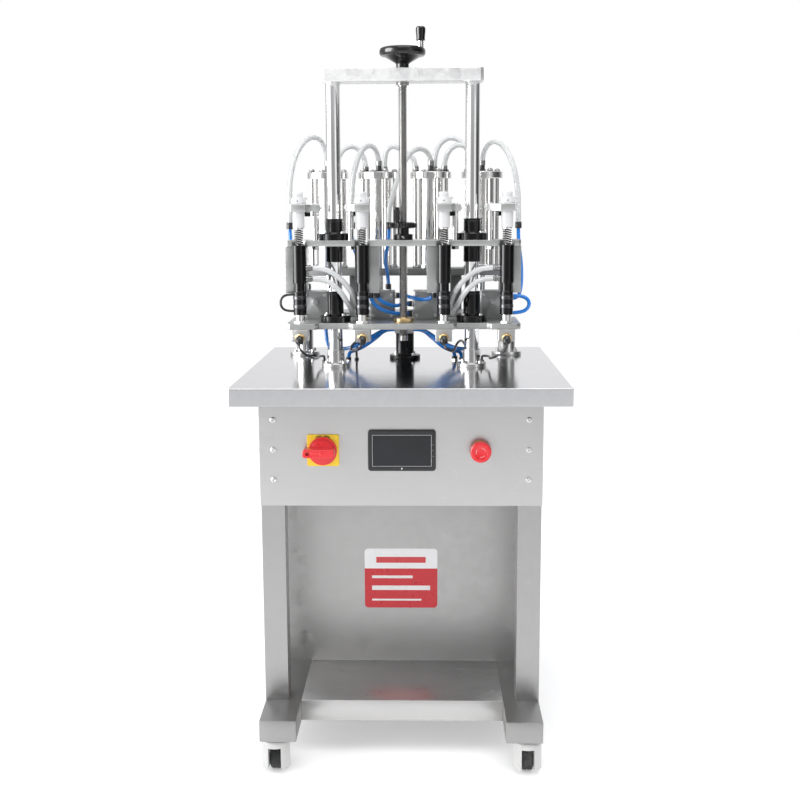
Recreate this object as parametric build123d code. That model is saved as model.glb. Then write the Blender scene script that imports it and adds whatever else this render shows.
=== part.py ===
# Four-head piston liquid filler: a stainless cabinet on casters, a nozzle carriage on two guide
# posts raised by a hand-turned lead screw, and four metering cylinders behind it.
# Millimetres. X runs left to right, Y front to back, Z up. The origin is on the floor, under the
# middle of the machine, and the front of the machine faces -Y.
import math
import os

from build123d import *

# ---- driving dimensions: cabinet -------------------------------------------------------------
TABLE_WIDTH = 640
TABLE_DEPTH = 680
TABLE_HEIGHT = 740
TABLE_LIP = 34
TABLE_SHEET = 2
CABINET_WIDTH = 540
OVERHANG = 50
SKIN = 1.5
LEG = 45
RAIL = 30
CHANNEL_WIDTH = 70
CHANNEL_HEIGHT = 42
CHANNEL_LENGTH = 780
CHANNEL_WALL = 2
CASTER_HEIGHT = 70
PANEL_DROP = 234
RECESS_DEPTH = 215
SHELF_SHEET = 1.5

# ---- driving dimensions: casters -------------------------------------------------------------
WHEEL_RADIUS = 25
WHEEL_WIDTH = 22
HOOD_RADIUS = 27.5
CASTER_TRAIL = 12
AXLE_RADIUS = 4
STEM_RADIUS = 6
RUNNING = 0.05

# ---- driving dimensions: controls ------------------------------------------------------------
CONTROL_DROP = 125.5
SWITCH_X = -148
SWITCH_PLATE = 61
KNOB_RADIUS = 27
HMI_X = 2
HMI_WIDTH = 129
HMI_HEIGHT = 79
ESTOP_X = 151
ESTOP_RADIUS = 20
ESTOP_TRAVEL = 5
PANEL_SCREW_INSET = 27
PANEL_SCREW_DROPS = (183, 125, 67)

# ---- driving dimensions: guide posts, beam, lead screw ---------------------------------------
POST_X = 143
POST_Y = -15
POST_RADIUS = 15
BEAM_BOTTOM = 1322
BEAM_HEIGHT = 26
BEAM_LENGTH = 328
BEAM_DEPTH = 60
SCREW_RADIUS = 9
SCREW_BOTTOM = 793
HANDWHEEL_RADIUS = 47
CRANK_OFFSET = 37

# ---- driving dimensions: nozzle carriage -----------------------------------------------------
PLATE = 12
LOWER_Z = 822
UPPER_Z = 992
PLATE_HALF = 242
NOZZLE_XS = (-213, -84, 84, 213)
NOZZLE_Y = -55
SLEEVE_RADIUS = 14.5
BUSH_WALL = 2.5
BUSH_FLANGE = 14.5
STEM_ROD_RADIUS = 5

# ---- driving dimensions: metering cylinders --------------------------------------------------
CYLINDER_XS = (-172, -58, 58, 172)
CYLINDER_Y = 190
BORE_RADIUS = 25
TUBE_WALL = 2.5
STAND_Z = 806
CYLINDER_BEAM_Z = 921
CYLINDER_TOP = 1134
REAR_COLUMN_X = 230
REAR_COLUMN_Y = 194
DRIVE_Y = 124
DRIVE_ROD_RADIUS = 8

FIT = 0.3
BOTTOM = (Align.CENTER, Align.CENTER, Align.MIN)
FRONT = -TABLE_DEPTH / 2 + OVERHANG
BACK = -FRONT
LEG_X = CABINET_WIDTH / 2 - SKIN
CHANNEL_TOP = CASTER_HEIGHT + CHANNEL_HEIGHT
TABLE_UNDER = TABLE_HEIGHT - TABLE_SHEET
RECESS_Y = FRONT + RECESS_DEPTH
PANEL_BOTTOM = TABLE_HEIGHT - PANEL_DROP
CONTROL_Z = TABLE_HEIGHT - CONTROL_DROP
PANEL_SCREW_X = CABINET_WIDTH / 2 - PANEL_SCREW_INSET
PANEL_SCREW_ZS = tuple(TABLE_HEIGHT - drop for drop in PANEL_SCREW_DROPS)
BUSH_RADIUS = POST_RADIUS + BUSH_WALL
BUSH_FLANGE_RADIUS = BUSH_RADIUS + BUSH_FLANGE
LOWER_TOP = LOWER_Z + PLATE
UPPER_TOP = UPPER_Z + PLATE


def block(x0, x1, y0, y1, z0, z1):
    """A rectangular block between two corners."""
    size = Box(x1 - x0, y1 - y0, z1 - z0, align=(Align.MIN, Align.MIN, Align.MIN))
    return Pos(x0, y0, z0) * size


def rod(radius, x, y, z0, z1):
    """An upright cylinder from z0 to z1."""
    return Pos(x, y, z0) * Cylinder(radius, z1 - z0, align=BOTTOM)


def tube(outer, inner, x, y, z0, z1):
    """An upright tube from z0 to z1."""
    return rod(outer, x, y, z0, z1) - rod(inner, x, y, z0 - 1, z1 + 1)


def rod_y(radius, x, z, y0, y1):
    """A cylinder along Y from y0 to y1."""
    return Pos(x, y1, z) * Rot(90, 0, 0) * Cylinder(radius, y1 - y0, align=BOTTOM)


def hexagon(across, x, y, z0, z1):
    """An upright hexagonal bar, given its size across the flats."""
    outline = RegularPolygon(across / math.sqrt(3), 6)
    return Pos(x, y, z0) * extrude(outline, z1 - z0)


def square_tube(size, wall, x0, y0, z0, z1):
    """An upright square tube with its low corner at x0, y0."""
    outer = block(x0, x0 + size, y0, y0 + size, z0, z1)
    inner = block(x0 + wall, x0 + size - wall, y0 + wall, y0 + size - wall, z0 - 1, z1 + 1)
    return outer - inner


def ring_points(x, y, radius, count, start=45):
    """Points on a bolt circle."""
    angles = [math.radians(start + 360 * i / count) for i in range(count)]
    return [(x + radius * math.cos(a), y + radius * math.sin(a)) for a in angles]


def save(name, *pieces):
    """Writes one node as one or more separate solids."""
    solids = [s for piece in pieces for s in piece.solids()]
    export_step(Compound(children=solids), f"parts/{name}.step")


os.makedirs("parts", exist_ok=True)


# ---- base channels, cabinet frame and skins --------------------------------------------------
CASTER_X = LEG_X - 27.5
CASTER_Y = CHANNEL_LENGTH / 2 - 30


def base_channel(side):
    """A closed rectangular tube that carries two casters."""
    x0 = LEG_X - CHANNEL_WIDTH if side > 0 else -LEG_X
    half = CHANNEL_LENGTH / 2
    body = block(x0, x0 + CHANNEL_WIDTH, -half, half, CASTER_HEIGHT, CHANNEL_TOP)
    body -= block(
        x0 + CHANNEL_WALL,
        x0 + CHANNEL_WIDTH - CHANNEL_WALL,
        -half + CHANNEL_WALL,
        half - CHANNEL_WALL,
        CASTER_HEIGHT + CHANNEL_WALL,
        CHANNEL_TOP - CHANNEL_WALL,
    )
    for end in (-1, 1):
        bore = rod(STEM_RADIUS + RUNNING, side * CASTER_X, end * CASTER_Y, 0, CASTER_HEIGHT + 10)
        body -= bore
    return body


save("base_channels", base_channel(-1), base_channel(1))

REAR_SCREW_ZS = (CHANNEL_TOP + 38, CHANNEL_TOP + 313, TABLE_HEIGHT - 50)
FOOT_HEIGHT = 8
FOOT_SCREW = POST_RADIUS + 10
FEET = (
    (-POST_X, POST_Y, FOOT_SCREW),
    (POST_X, POST_Y, FOOT_SCREW),
    (-REAR_COLUMN_X, REAR_COLUMN_Y, FOOT_SCREW + 2),
    (REAR_COLUMN_X, REAR_COLUMN_Y, FOOT_SCREW + 2),
    (0, DRIVE_Y, FOOT_SCREW + 2),
)


def cabinet_frame():
    """Four legs of square tube, joined by smaller tubes under the table and in the rear bay."""
    pieces = []
    wall = 2
    post_top = TABLE_UNDER - RAIL
    rear_leg = BACK - LEG
    foot_holes = [
        rod(2.5, px, py, TABLE_UNDER - 7, TABLE_UNDER + 1)
        for x, y, circle in FEET
        for px, py in ring_points(x, y, circle, 4)
    ]
    for side in (-1, 1):
        leg_x0 = LEG_X - LEG if side > 0 else -LEG_X
        rail_x0 = LEG_X - RAIL if side > 0 else -LEG_X
        for y0 in (FRONT, rear_leg):
            leg = square_tube(LEG, wall, leg_x0, y0, CHANNEL_TOP, TABLE_UNDER)
            skin_y, screw_zs = (FRONT, PANEL_SCREW_ZS) if y0 == FRONT else (BACK, REAR_SCREW_ZS)
            for z in screw_zs:
                leg -= rod_y(2.5, side * PANEL_SCREW_X, z, skin_y - wall - 1, skin_y + wall + 1)
            pieces.append(leg)
        top_rail = block(rail_x0, rail_x0 + RAIL, FRONT + LEG, rear_leg, post_top, TABLE_UNDER)
        for hole in foot_holes:
            top_rail -= hole
        pieces.append(top_rail)
        pieces.append(square_tube(RAIL, wall, rail_x0, RECESS_Y, CHANNEL_TOP + RAIL, post_top))
        pieces.append(
            block(rail_x0, rail_x0 + RAIL, RECESS_Y, rear_leg, CHANNEL_TOP, CHANNEL_TOP + RAIL)
        )
    inner = LEG_X - LEG
    pieces.append(block(-inner, inner, FRONT + 2, FRONT + 2 + RAIL, post_top, TABLE_UNDER))
    pieces.append(block(-inner, inner, BACK - RAIL, BACK, post_top, TABLE_UNDER))
    pieces.append(block(-inner, inner, BACK - RAIL, BACK, CHANNEL_TOP, CHANNEL_TOP + RAIL))
    return pieces


save("cabinet_frame", *cabinet_frame())

PANEL_TOP = TABLE_UNDER - 2


def side_skins():
    """Sheet on both sides: one piece over the rear bay and one over the control box."""
    pieces = []
    for side in (-1, 1):
        x0, x1 = sorted((side * LEG_X, side * (LEG_X + SKIN)))
        pieces.append(block(x0, x1, RECESS_Y, BACK, CHANNEL_TOP, PANEL_TOP))
        pieces.append(block(x0, x1, FRONT, RECESS_Y, PANEL_BOTTOM, PANEL_TOP))
    return pieces


recess_panel = block(-LEG_X, LEG_X, RECESS_Y - SKIN, RECESS_Y, CHANNEL_TOP, PANEL_BOTTOM)
save("recess_panel", recess_panel)


def control_box_floor():
    """Sheet that closes the control box from below, notched round the front legs."""
    floor = block(-LEG_X, LEG_X, FRONT, RECESS_Y, PANEL_BOTTOM, PANEL_BOTTOM + SKIN)
    for side in (-1, 1):
        x0, x1 = sorted((side * LEG_X, side * (LEG_X - LEG)))
        floor -= block(x0, x1, FRONT, FRONT + LEG, PANEL_BOTTOM - 1, PANEL_BOTTOM + SKIN + 1)
    return floor


save("cabinet_skins", *side_skins(), control_box_floor())

VENT_COUNT = 6
VENT_PITCH = 14
VENT_BOTTOM = TABLE_HEIGHT - 180


def rear_panel():
    """Removable rear sheet with ventilation slots and six screw holes."""
    half = CABINET_WIDTH / 2
    sheet = block(-half, half, BACK, BACK + SKIN, CHANNEL_TOP, PANEL_TOP)
    for bay in (-1, 1):
        for i in range(VENT_COUNT):
            z = VENT_BOTTOM + VENT_PITCH * i
            sheet -= block(bay * 110 - 45, bay * 110 + 45, BACK - 1, BACK + 3, z, z + 5)
    for side in (-1, 1):
        for z in REAR_SCREW_ZS:
            sheet -= rod_y(2.8, side * PANEL_SCREW_X, z, BACK - 1, BACK + 3)
    return sheet


save("rear_panel", rear_panel())

HMI_CASE_WIDTH = HMI_WIDTH - 9
HMI_CASE_HEIGHT = HMI_HEIGHT - 9
SWITCH_HOLE = 11
ESTOP_HOLE = 11


def front_panel():
    """Front sheet of the control box, with openings for the switch, the screen and the stop."""
    half = CABINET_WIDTH / 2
    sheet = block(-half, half, FRONT - SKIN, FRONT, PANEL_BOTTOM, PANEL_TOP)
    case_x = HMI_CASE_WIDTH / 2 + FIT
    case_z = HMI_CASE_HEIGHT / 2 + FIT
    sheet -= block(
        HMI_X - case_x, HMI_X + case_x, FRONT - 3, FRONT + 1, CONTROL_Z - case_z, CONTROL_Z + case_z
    )
    sheet -= rod_y(SWITCH_HOLE, SWITCH_X, CONTROL_Z, FRONT - 3, FRONT + 1)
    sheet -= rod_y(ESTOP_HOLE, ESTOP_X, CONTROL_Z, FRONT - 3, FRONT + 1)
    for side in (-1, 1):
        for z in PANEL_SCREW_ZS:
            sheet -= rod_y(2.8, side * PANEL_SCREW_X, z, FRONT - 3, FRONT + 1)
    return sheet


save("front_panel", front_panel())


def tabletop():
    """Folded stainless pan with the holes for the foot flanges and the drive rod."""
    half_x = TABLE_WIDTH / 2
    half_y = TABLE_DEPTH / 2
    pan = block(-half_x, half_x, -half_y, half_y, TABLE_HEIGHT - TABLE_LIP, TABLE_HEIGHT)
    pan = fillet(pan.edges().filter_by(Axis.Z), 3)
    pan = fillet(pan.faces().sort_by(Axis.Z)[-1].edges(), 2)
    pan -= block(
        -half_x + TABLE_SHEET,
        half_x - TABLE_SHEET,
        -half_y + TABLE_SHEET,
        half_y - TABLE_SHEET,
        TABLE_HEIGHT - TABLE_LIP - 1,
        TABLE_UNDER,
    )
    pan -= rod(DRIVE_ROD_RADIUS + 4, 0, DRIVE_Y, TABLE_UNDER - 1, TABLE_HEIGHT + 1)
    for x, y, circle in FEET:
        for px, py in ring_points(x, y, circle, 4):
            pan -= rod(3, px, py, TABLE_UNDER - 1, TABLE_HEIGHT + 1)
    return pan


save("tabletop", tabletop())


def shelf_tray():
    """Folded shelf between the channels, level with their tops."""
    half = LEG_X - CHANNEL_WIDTH
    rear = RECESS_Y - SKIN
    tray = block(-half, half, FRONT, rear, CASTER_HEIGHT, CHANNEL_TOP)
    tray -= block(
        -half + SHELF_SHEET,
        half - SHELF_SHEET,
        FRONT + SHELF_SHEET,
        rear - SHELF_SHEET,
        CASTER_HEIGHT - 1,
        CHANNEL_TOP - SHELF_SHEET,
    )
    return tray


save("shelf_tray", shelf_tray())

# ---- screws ----------------------------------------------------------------------------------


def socket_screw(x, y, z):
    """Socket head screw standing on a flange at height z."""
    screw = rod(4, x, y, z, z + 5) + rod(2.4, x, y, TABLE_UNDER - 6, z)
    return screw - hexagon(4, x, y, z + 2.5, z + 6)


def panel_screw(x, z, face, outward):
    """Button head screw in a skin; outward is the direction its head faces along Y."""
    head = Sphere(7.4)
    head &= Box(20, 20, 2.8, align=(Align.CENTER, Align.CENTER, Align.MAX)).move(Pos(0, 0, 7.4))
    head = Pos(0, 0, -4.6) * head
    shank = Cylinder(2.4, 9, align=(Align.CENTER, Align.CENTER, Align.MAX))
    socket = extrude(RegularPolygon(1.8, 6), 4)
    screw = head + shank - Pos(0, 0, 1.2) * socket
    return Pos(x, face, z) * Rot(-90 * outward, 0, 0) * screw


def screws():
    """Every screw that stays on the frame."""
    pieces = []
    for x, y, circle in FEET:
        for px, py in ring_points(x, y, circle, 4):
            pieces.append(socket_screw(px, py, TABLE_HEIGHT + FOOT_HEIGHT))
    for side in (-1, 1):
        for z in PANEL_SCREW_ZS:
            pieces.append(panel_screw(side * PANEL_SCREW_X, z, FRONT - SKIN, -1))
        for z in REAR_SCREW_ZS:
            pieces.append(panel_screw(side * PANEL_SCREW_X, z, BACK + SKIN, 1))
    return pieces


# ---- casters ---------------------------------------------------------------------------------
HOOD_TOP = CASTER_HEIGHT - 2
SLOT = WHEEL_WIDTH / 2 + 1


def caster_fork(x, y):
    """Round two-sided hood with its stem, and the axle that the wheel turns on."""
    hood = rod(HOOD_RADIUS, x, y, 12, HOOD_TOP)
    hood = fillet(hood.faces().sort_by(Axis.Z)[-1].edges(), 8)
    hood -= block(x - SLOT, x + SLOT, y - 40, y + 40, 0, 2 * WHEEL_RADIUS + 4)
    seat = CASTER_HEIGHT - 0.1
    stem = rod(10, x, y, HOOD_TOP - 1, seat) + rod(STEM_RADIUS, x, y, seat, CASTER_HEIGHT + 12)
    nut = tube(9, STEM_RADIUS, x, y, CASTER_HEIGHT + CHANNEL_WALL + 0.5, CASTER_HEIGHT + 8)
    axle = Pos(x, y - math.copysign(CASTER_TRAIL, y), WHEEL_RADIUS) * Rot(0, 90, 0) * Cylinder(AXLE_RADIUS, 46)
    hood -= axle
    return [hood + stem + nut, axle]


def caster_wheel(x, y):
    """Twin-lipped wheel with a rounded tread and a bored hub."""
    wheel = Cylinder(WHEEL_RADIUS, WHEEL_WIDTH)
    wheel = fillet(wheel.edges().filter_by(GeomType.CIRCLE), 4)
    for side in (-1, 1):
        dish = Cylinder(18, 3) - Cylinder(9, 4)
        wheel -= Pos(0, 0, side * WHEEL_WIDTH / 2) * dish
    wheel -= Cylinder(AXLE_RADIUS + RUNNING, WHEEL_WIDTH + 2)
    return Pos(x, y - math.copysign(CASTER_TRAIL, y), WHEEL_RADIUS) * Rot(0, 90, 0) * wheel


CORNERS = [(sx * CASTER_X, sy * CASTER_Y) for sy in (-1, 1) for sx in (-1, 1)]
for number, (cx, cy) in enumerate(CORNERS, 1):
    save(f"caster_fork_{number}", *caster_fork(cx, cy))
    save(f"caster_wheel_{number}", caster_wheel(cx, cy))

# ---- controls on the front panel -------------------------------------------------------------
FACE = FRONT - SKIN
PLATE_FACE = FACE - 3


def main_switch_plate():
    """Square plate of the main switch with the switch body behind the panel."""
    half = SWITCH_PLATE / 2
    plate = block(
        SWITCH_X - half, SWITCH_X + half, PLATE_FACE, FACE, CONTROL_Z - half, CONTROL_Z + half
    )
    plate = fillet(plate.edges().filter_by(Axis.Y), 4)
    plate += rod_y(SWITCH_HOLE - 0.2, SWITCH_X, CONTROL_Z, FACE, FRONT + 4)
    body = block(SWITCH_X - 24, SWITCH_X + 24, FRONT + 4, FRONT + 50, CONTROL_Z - 24, CONTROL_Z + 24)
    return (plate + body) - rod_y(4 + RUNNING, SWITCH_X, CONTROL_Z, PLATE_FACE - 1, FRONT + 20)


def main_switch_knob():
    """Rotary knob with a bar handle, on its spindle."""
    back = PLATE_FACE - 0.3
    knob = rod_y(KNOB_RADIUS, SWITCH_X, CONTROL_Z, back - 10, back)
    knob += rod_y(KNOB_RADIUS - 5, SWITCH_X, CONTROL_Z, back - 16, back - 9)
    handle = block(SWITCH_X - 36, SWITCH_X + 24, back - 36, back - 9, CONTROL_Z - 8, CONTROL_Z + 8)
    handle = fillet(handle.edges().filter_by(Axis.Y), 5)
    handle = fillet(handle.faces().sort_by(Axis.Y)[0].edges(), 2)
    knob += handle
    knob += rod_y(4, SWITCH_X, CONTROL_Z, back - 1, FRONT + 18)
    knob -= rod_y(3.5, SWITCH_X - 27, CONTROL_Z, back - 37, back - 28)
    return knob


save("main_switch_plate", main_switch_plate())
save("main_switch_knob", main_switch_knob())

BEZEL = 6
SCREEN_RECESS = 1.2
SCREEN_HALF_X = 55
SCREEN_HALF_Z = 29


def hmi_bezel():
    """Rounded bezel of the touch panel, with its case through the panel."""
    half_x = HMI_WIDTH / 2
    half_z = HMI_HEIGHT / 2
    bezel = block(
        HMI_X - half_x, HMI_X + half_x, FACE - BEZEL, FACE, CONTROL_Z - half_z, CONTROL_Z + half_z
    )
    bezel = fillet(bezel.edges().filter_by(Axis.Y), 6)
    bezel = fillet(bezel.faces().sort_by(Axis.Y)[0].edges(), 1.5)
    bezel -= block(
        HMI_X - SCREEN_HALF_X,
        HMI_X + SCREEN_HALF_X,
        FACE - BEZEL - 1,
        FACE - BEZEL + SCREEN_RECESS + 1.5,
        CONTROL_Z - SCREEN_HALF_Z,
        CONTROL_Z + SCREEN_HALF_Z,
    )
    case_x = HMI_CASE_WIDTH / 2
    case_z = HMI_CASE_HEIGHT / 2
    bezel += block(
        HMI_X - case_x, HMI_X + case_x, FACE, FRONT + 32, CONTROL_Z - case_z, CONTROL_Z + case_z
    )
    return bezel


save("hmi_bezel", hmi_bezel())
save(
    "hmi_screen",
    block(
        HMI_X - SCREEN_HALF_X,
        HMI_X + SCREEN_HALF_X,
        FACE - BEZEL + SCREEN_RECESS,
        FACE - BEZEL + SCREEN_RECESS + 1.5,
        CONTROL_Z - SCREEN_HALF_Z,
        CONTROL_Z + SCREEN_HALF_Z,
    ),
)


def estop_collar():
    """Fixed collar and contact block of the emergency stop."""
    collar = rod_y(15, ESTOP_X, CONTROL_Z, FACE - 5, FACE)
    collar += rod_y(ESTOP_HOLE - 0.2, ESTOP_X, CONTROL_Z, FACE, FRONT + 4)
    collar += block(ESTOP_X - 15, ESTOP_X + 15, FRONT + 4, FRONT + 45, CONTROL_Z - 20, CONTROL_Z + 20)
    return collar - rod_y(7 + RUNNING, ESTOP_X, CONTROL_Z, FACE - 6, FRONT + 30)


def estop_button():
    """Mushroom head with a dished face, on its stem."""
    rear = FACE - 5 - ESTOP_TRAVEL - 0.3
    head = rod_y(ESTOP_RADIUS, ESTOP_X, CONTROL_Z, rear - 14, rear)
    head = fillet(head.edges().filter_by(GeomType.CIRCLE).sort_by(Axis.Y)[0], 4)
    head -= rod_y(13, ESTOP_X, CONTROL_Z, rear - 15, rear - 13)
    return head + rod_y(7, ESTOP_X, CONTROL_Z, rear - 1, FRONT + 20)


save("estop_collar", estop_collar())
save("estop_button", estop_button())

LABEL_X = -6
LABEL_Z = 294
LABEL_WIDTH = 154
LABEL_HEIGHT = 130
LABEL_THICK = 0.4


def service_label():
    """Thin blank label on the recess panel."""
    half_x = LABEL_WIDTH / 2
    half_z = LABEL_HEIGHT / 2
    face = RECESS_Y - SKIN
    label = block(
        LABEL_X - half_x, LABEL_X + half_x, face - LABEL_THICK, face, LABEL_Z - half_z, LABEL_Z + half_z
    )
    return fillet(label.edges().filter_by(Axis.Y), 8)


save("service_label", service_label())

# ---- inside the rear bay ---------------------------------------------------------------------
BOARD_Y = BACK - RAIL - 3


def control_electrics():
    """Mounting board with a rail, the controller and the power supply."""
    board = block(-LEG_X + LEG, LEG_X - LEG, BOARD_Y, BOARD_Y + 3, CHANNEL_TOP + RAIL, VENT_BOTTOM)
    din_rail = block(-180, 180, BOARD_Y - 8, BOARD_Y, 380, 415)
    controller = block(-160, -30, BOARD_Y - 88, BOARD_Y - 8, 350, 445)
    supply = block(10, 110, BOARD_Y - 118, BOARD_Y - 8, 335, 460)
    return [board, din_rail, controller, supply]


def valve_manifold():
    """Air valves side by side on a bar, low on the mounting board."""
    bar = block(-120, 120, BOARD_Y - 35, BOARD_Y, 200, 225)
    valves = [
        block(-110 + 37 * i, -80 + 37 * i, BOARD_Y - 50, BOARD_Y - 4, 225, 290) for i in range(6)
    ]
    return [bar, *valves]


save("control_electrics", *control_electrics(), *valve_manifold())

DRIVE_BORE = 28
DRIVE_TUBE_BOTTOM = 470
DRIVE_PISTON_Z = 500


def drive_cylinder():
    """Air cylinder hung under the table, whose rod works the metering pistons."""
    body = rod(34, 0, DRIVE_Y, DRIVE_TUBE_BOTTOM, TABLE_UNDER)
    body += block(-45, 45, DRIVE_Y - 45, DRIVE_Y + 45, TABLE_UNDER - 12, TABLE_UNDER)
    body -= rod(DRIVE_BORE, 0, DRIVE_Y, DRIVE_TUBE_BOTTOM + 12, TABLE_UNDER - 30)
    body -= rod(DRIVE_ROD_RADIUS + RUNNING, 0, DRIVE_Y, TABLE_UNDER - 40, TABLE_UNDER + 1)
    for px, py in ring_points(0, DRIVE_Y, FOOT_SCREW + 2, 4):
        body -= rod(2.5, px, py, TABLE_UNDER - 8, TABLE_UNDER + 1)
    return body


save("drive_cylinder", drive_cylinder())

# ---- posts, columns and top beam -------------------------------------------------------------
save("guide_posts", *[rod(POST_RADIUS, s * POST_X, POST_Y, TABLE_HEIGHT, BEAM_BOTTOM) for s in (-1, 1)])

FOOT_RADIUS = FOOT_SCREW + 6
COLUMN_FOOT_RADIUS = FOOT_RADIUS + 3
COLLAR_RADIUS = POST_RADIUS + 3.5
COLLAR_TOP = TABLE_HEIGHT + 36


def post_foot(x, y):
    """Round foot flange with a tall collar round the post."""
    foot = rod(FOOT_RADIUS, x, y, TABLE_HEIGHT, TABLE_HEIGHT + FOOT_HEIGHT)
    foot += rod(COLLAR_RADIUS, x, y, TABLE_HEIGHT, COLLAR_TOP)
    foot -= rod(POST_RADIUS + FIT, x, y, TABLE_HEIGHT - 1, COLLAR_TOP + 1)
    for px, py in ring_points(x, y, FOOT_SCREW, 4):
        foot -= rod(2.7, px, py, TABLE_HEIGHT - 1, TABLE_HEIGHT + FOOT_HEIGHT + 1)
        foot -= rod(4.5, px, py, TABLE_HEIGHT + FOOT_HEIGHT, COLLAR_TOP + 1)
    return foot


save("post_feet", post_foot(-POST_X, POST_Y), post_foot(POST_X, POST_Y))


def flanged_column(x, y, radius, bore, top):
    """Turned column with a round foot flange."""
    column = rod(COLUMN_FOOT_RADIUS, x, y, TABLE_HEIGHT, TABLE_HEIGHT + FOOT_HEIGHT)
    column += rod(radius, x, y, TABLE_HEIGHT, top)
    if bore:
        column -= rod(bore, x, y, TABLE_HEIGHT - 1, top + 1)
    for px, py in ring_points(x, y, FOOT_SCREW + 2, 4):
        column -= rod(2.7, px, py, TABLE_HEIGHT - 1, TABLE_HEIGHT + FOOT_HEIGHT + 1)
        column -= rod(4.5, px, py, TABLE_HEIGHT + FOOT_HEIGHT, top + 1)
    return column


save(
    "rear_columns",
    *[flanged_column(s * REAR_COLUMN_X, REAR_COLUMN_Y, 19.5, 0, STAND_Z) for s in (-1, 1)],
)
save("center_column", flanged_column(0, DRIVE_Y, 20, DRIVE_ROD_RADIUS + RUNNING, STAND_Z))
save("frame_screws", *screws())

BEAM_TOP = BEAM_BOTTOM + BEAM_HEIGHT


def top_beam():
    """Chamfered cross beam with a bored seat and the flanged bush for the screw."""
    half = BEAM_LENGTH / 2
    y0 = POST_Y - BEAM_DEPTH / 2
    beam = block(-half, half, y0, y0 + BEAM_DEPTH, BEAM_BOTTOM, BEAM_TOP)
    beam = chamfer(beam.edges().filter_by(Axis.Z), 6)
    beam = fillet(beam.faces().sort_by(Axis.Z)[-1].edges(), 1)
    beam -= rod(13, 0, POST_Y, BEAM_BOTTOM - 1, BEAM_TOP + 1)
    bush = rod(13, 0, POST_Y, BEAM_BOTTOM, BEAM_TOP) + rod(16, 0, POST_Y, BEAM_TOP, BEAM_TOP + 2)
    bush -= rod(SCREW_RADIUS + RUNNING, 0, POST_Y, BEAM_BOTTOM - 1, BEAM_TOP + 3)
    return [beam, bush]


save("top_beam", *top_beam())

# ---- lead screw, handwheel and crank ---------------------------------------------------------
HUB_Z = BEAM_TOP + 2.1
WHEEL_Z = 1374
RIM_HEIGHT = 16


def lead_screw():
    """Lead screw with a retaining collar under the beam."""
    screw = rod(SCREW_RADIUS, 0, POST_Y, SCREW_BOTTOM, HUB_Z)
    return screw + rod(SCREW_RADIUS - 3, 0, POST_Y, HUB_Z, WHEEL_Z + 8) + rod(
        13, 0, POST_Y, BEAM_BOTTOM - 6.1, BEAM_BOTTOM - 0.1
    )


save("lead_screw", lead_screw())


def top_handwheel():
    """Solid-disc handwheel with a conical hub, and the spindle of its crank."""
    profile = Polyline(
        (SCREW_RADIUS - 3, HUB_Z),
        (13, HUB_Z),
        (13, HUB_Z + 8),
        (HANDWHEEL_RADIUS - 8, WHEEL_Z - 1),
        (HANDWHEEL_RADIUS, WHEEL_Z + 2),
        (HANDWHEEL_RADIUS, WHEEL_Z + RIM_HEIGHT - 3),
        (HANDWHEEL_RADIUS - 4, WHEEL_Z + RIM_HEIGHT),
        (HANDWHEEL_RADIUS - 9, WHEEL_Z + RIM_HEIGHT - 4),
        (16, WHEEL_Z + 5),
        (14, WHEEL_Z + 9),
        (SCREW_RADIUS - 3, WHEEL_Z + 9),
        close=True,
    )
    section = make_face(Plane.XZ * profile)
    wheel = Pos(0, POST_Y, 0) * revolve(section, Axis.Z)
    boss = rod(6, CRANK_OFFSET, POST_Y, WHEEL_Z + 4, 1404)
    boss += rod(3, CRANK_OFFSET, POST_Y, 1403, 1424)
    return wheel + boss


save("top_handwheel", top_handwheel())


def crank_grip():
    """Revolving grip on the crank spindle."""
    grip = rod(10, CRANK_OFFSET, POST_Y, 1404.1, 1432)
    grip = fillet(grip.faces().sort_by(Axis.Z)[-1].edges(), 4)
    return grip - rod(3 + RUNNING, CRANK_OFFSET, POST_Y, 1404, 1425)


save("crank_grip", crank_grip())

# ---- lower plate and what rides on it --------------------------------------------------------
LOWER_FRONT = NOZZLE_Y - 13
LOWER_BACK = 100
POST_NOTCH = 16
NOTCH_HALF = 31
CORNER = 8


def plate_outline(front, notch, back):
    """Plate outline whose front edge steps back in front of each post."""
    left_notch = -POST_X - NOTCH_HALF
    half = [
        (-PLATE_HALF, back),
        (-PLATE_HALF, front + CORNER),
        (-PLATE_HALF + CORNER, front),
        (left_notch - CORNER, front),
        (left_notch, front + notch),
        (-POST_X + NOTCH_HALF, front + notch),
        (-POST_X + NOTCH_HALF + CORNER, front),
    ]
    mirrored = [(-x, y) for x, y in reversed(half)]
    return make_face(Polyline(*half, *mirrored, close=True))


def lower_plate():
    """Carriage plate bored for the bushes, the lead nut and the nozzles."""
    plate = Pos(0, 0, LOWER_Z) * extrude(plate_outline(LOWER_FRONT, POST_NOTCH, LOWER_BACK), PLATE)
    for side in (-1, 1):
        plate -= rod(BUSH_RADIUS, side * POST_X, POST_Y, LOWER_Z - 1, LOWER_TOP + 1)
    plate -= rod(12, 0, POST_Y, LOWER_Z - 1, LOWER_TOP + 1)
    for x in NOZZLE_XS:
        plate -= rod(8, x, NOZZLE_Y, LOWER_Z - 1, LOWER_TOP + 1)
    return plate


def tube_clip():
    """Block under the plate that holds the air tubes."""
    return block(-20, 20, 34, 62, LOWER_Z - 18, LOWER_Z)


save("lower_plate", lower_plate(), tube_clip())


def flanged_bush(x, base, low, high):
    """Black flanged slide bush on a post: base is the flange's underside."""
    bush = rod(BUSH_RADIUS, x, POST_Y, low, high)
    bush += rod(BUSH_FLANGE_RADIUS, x, POST_Y, base, base + 14)
    return bush - rod(POST_RADIUS + RUNNING, x, POST_Y, low - 1, high + 1)


save("lower_bushes", *[flanged_bush(s * POST_X, LOWER_TOP, LOWER_Z, 898) for s in (-1, 1)])

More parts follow.
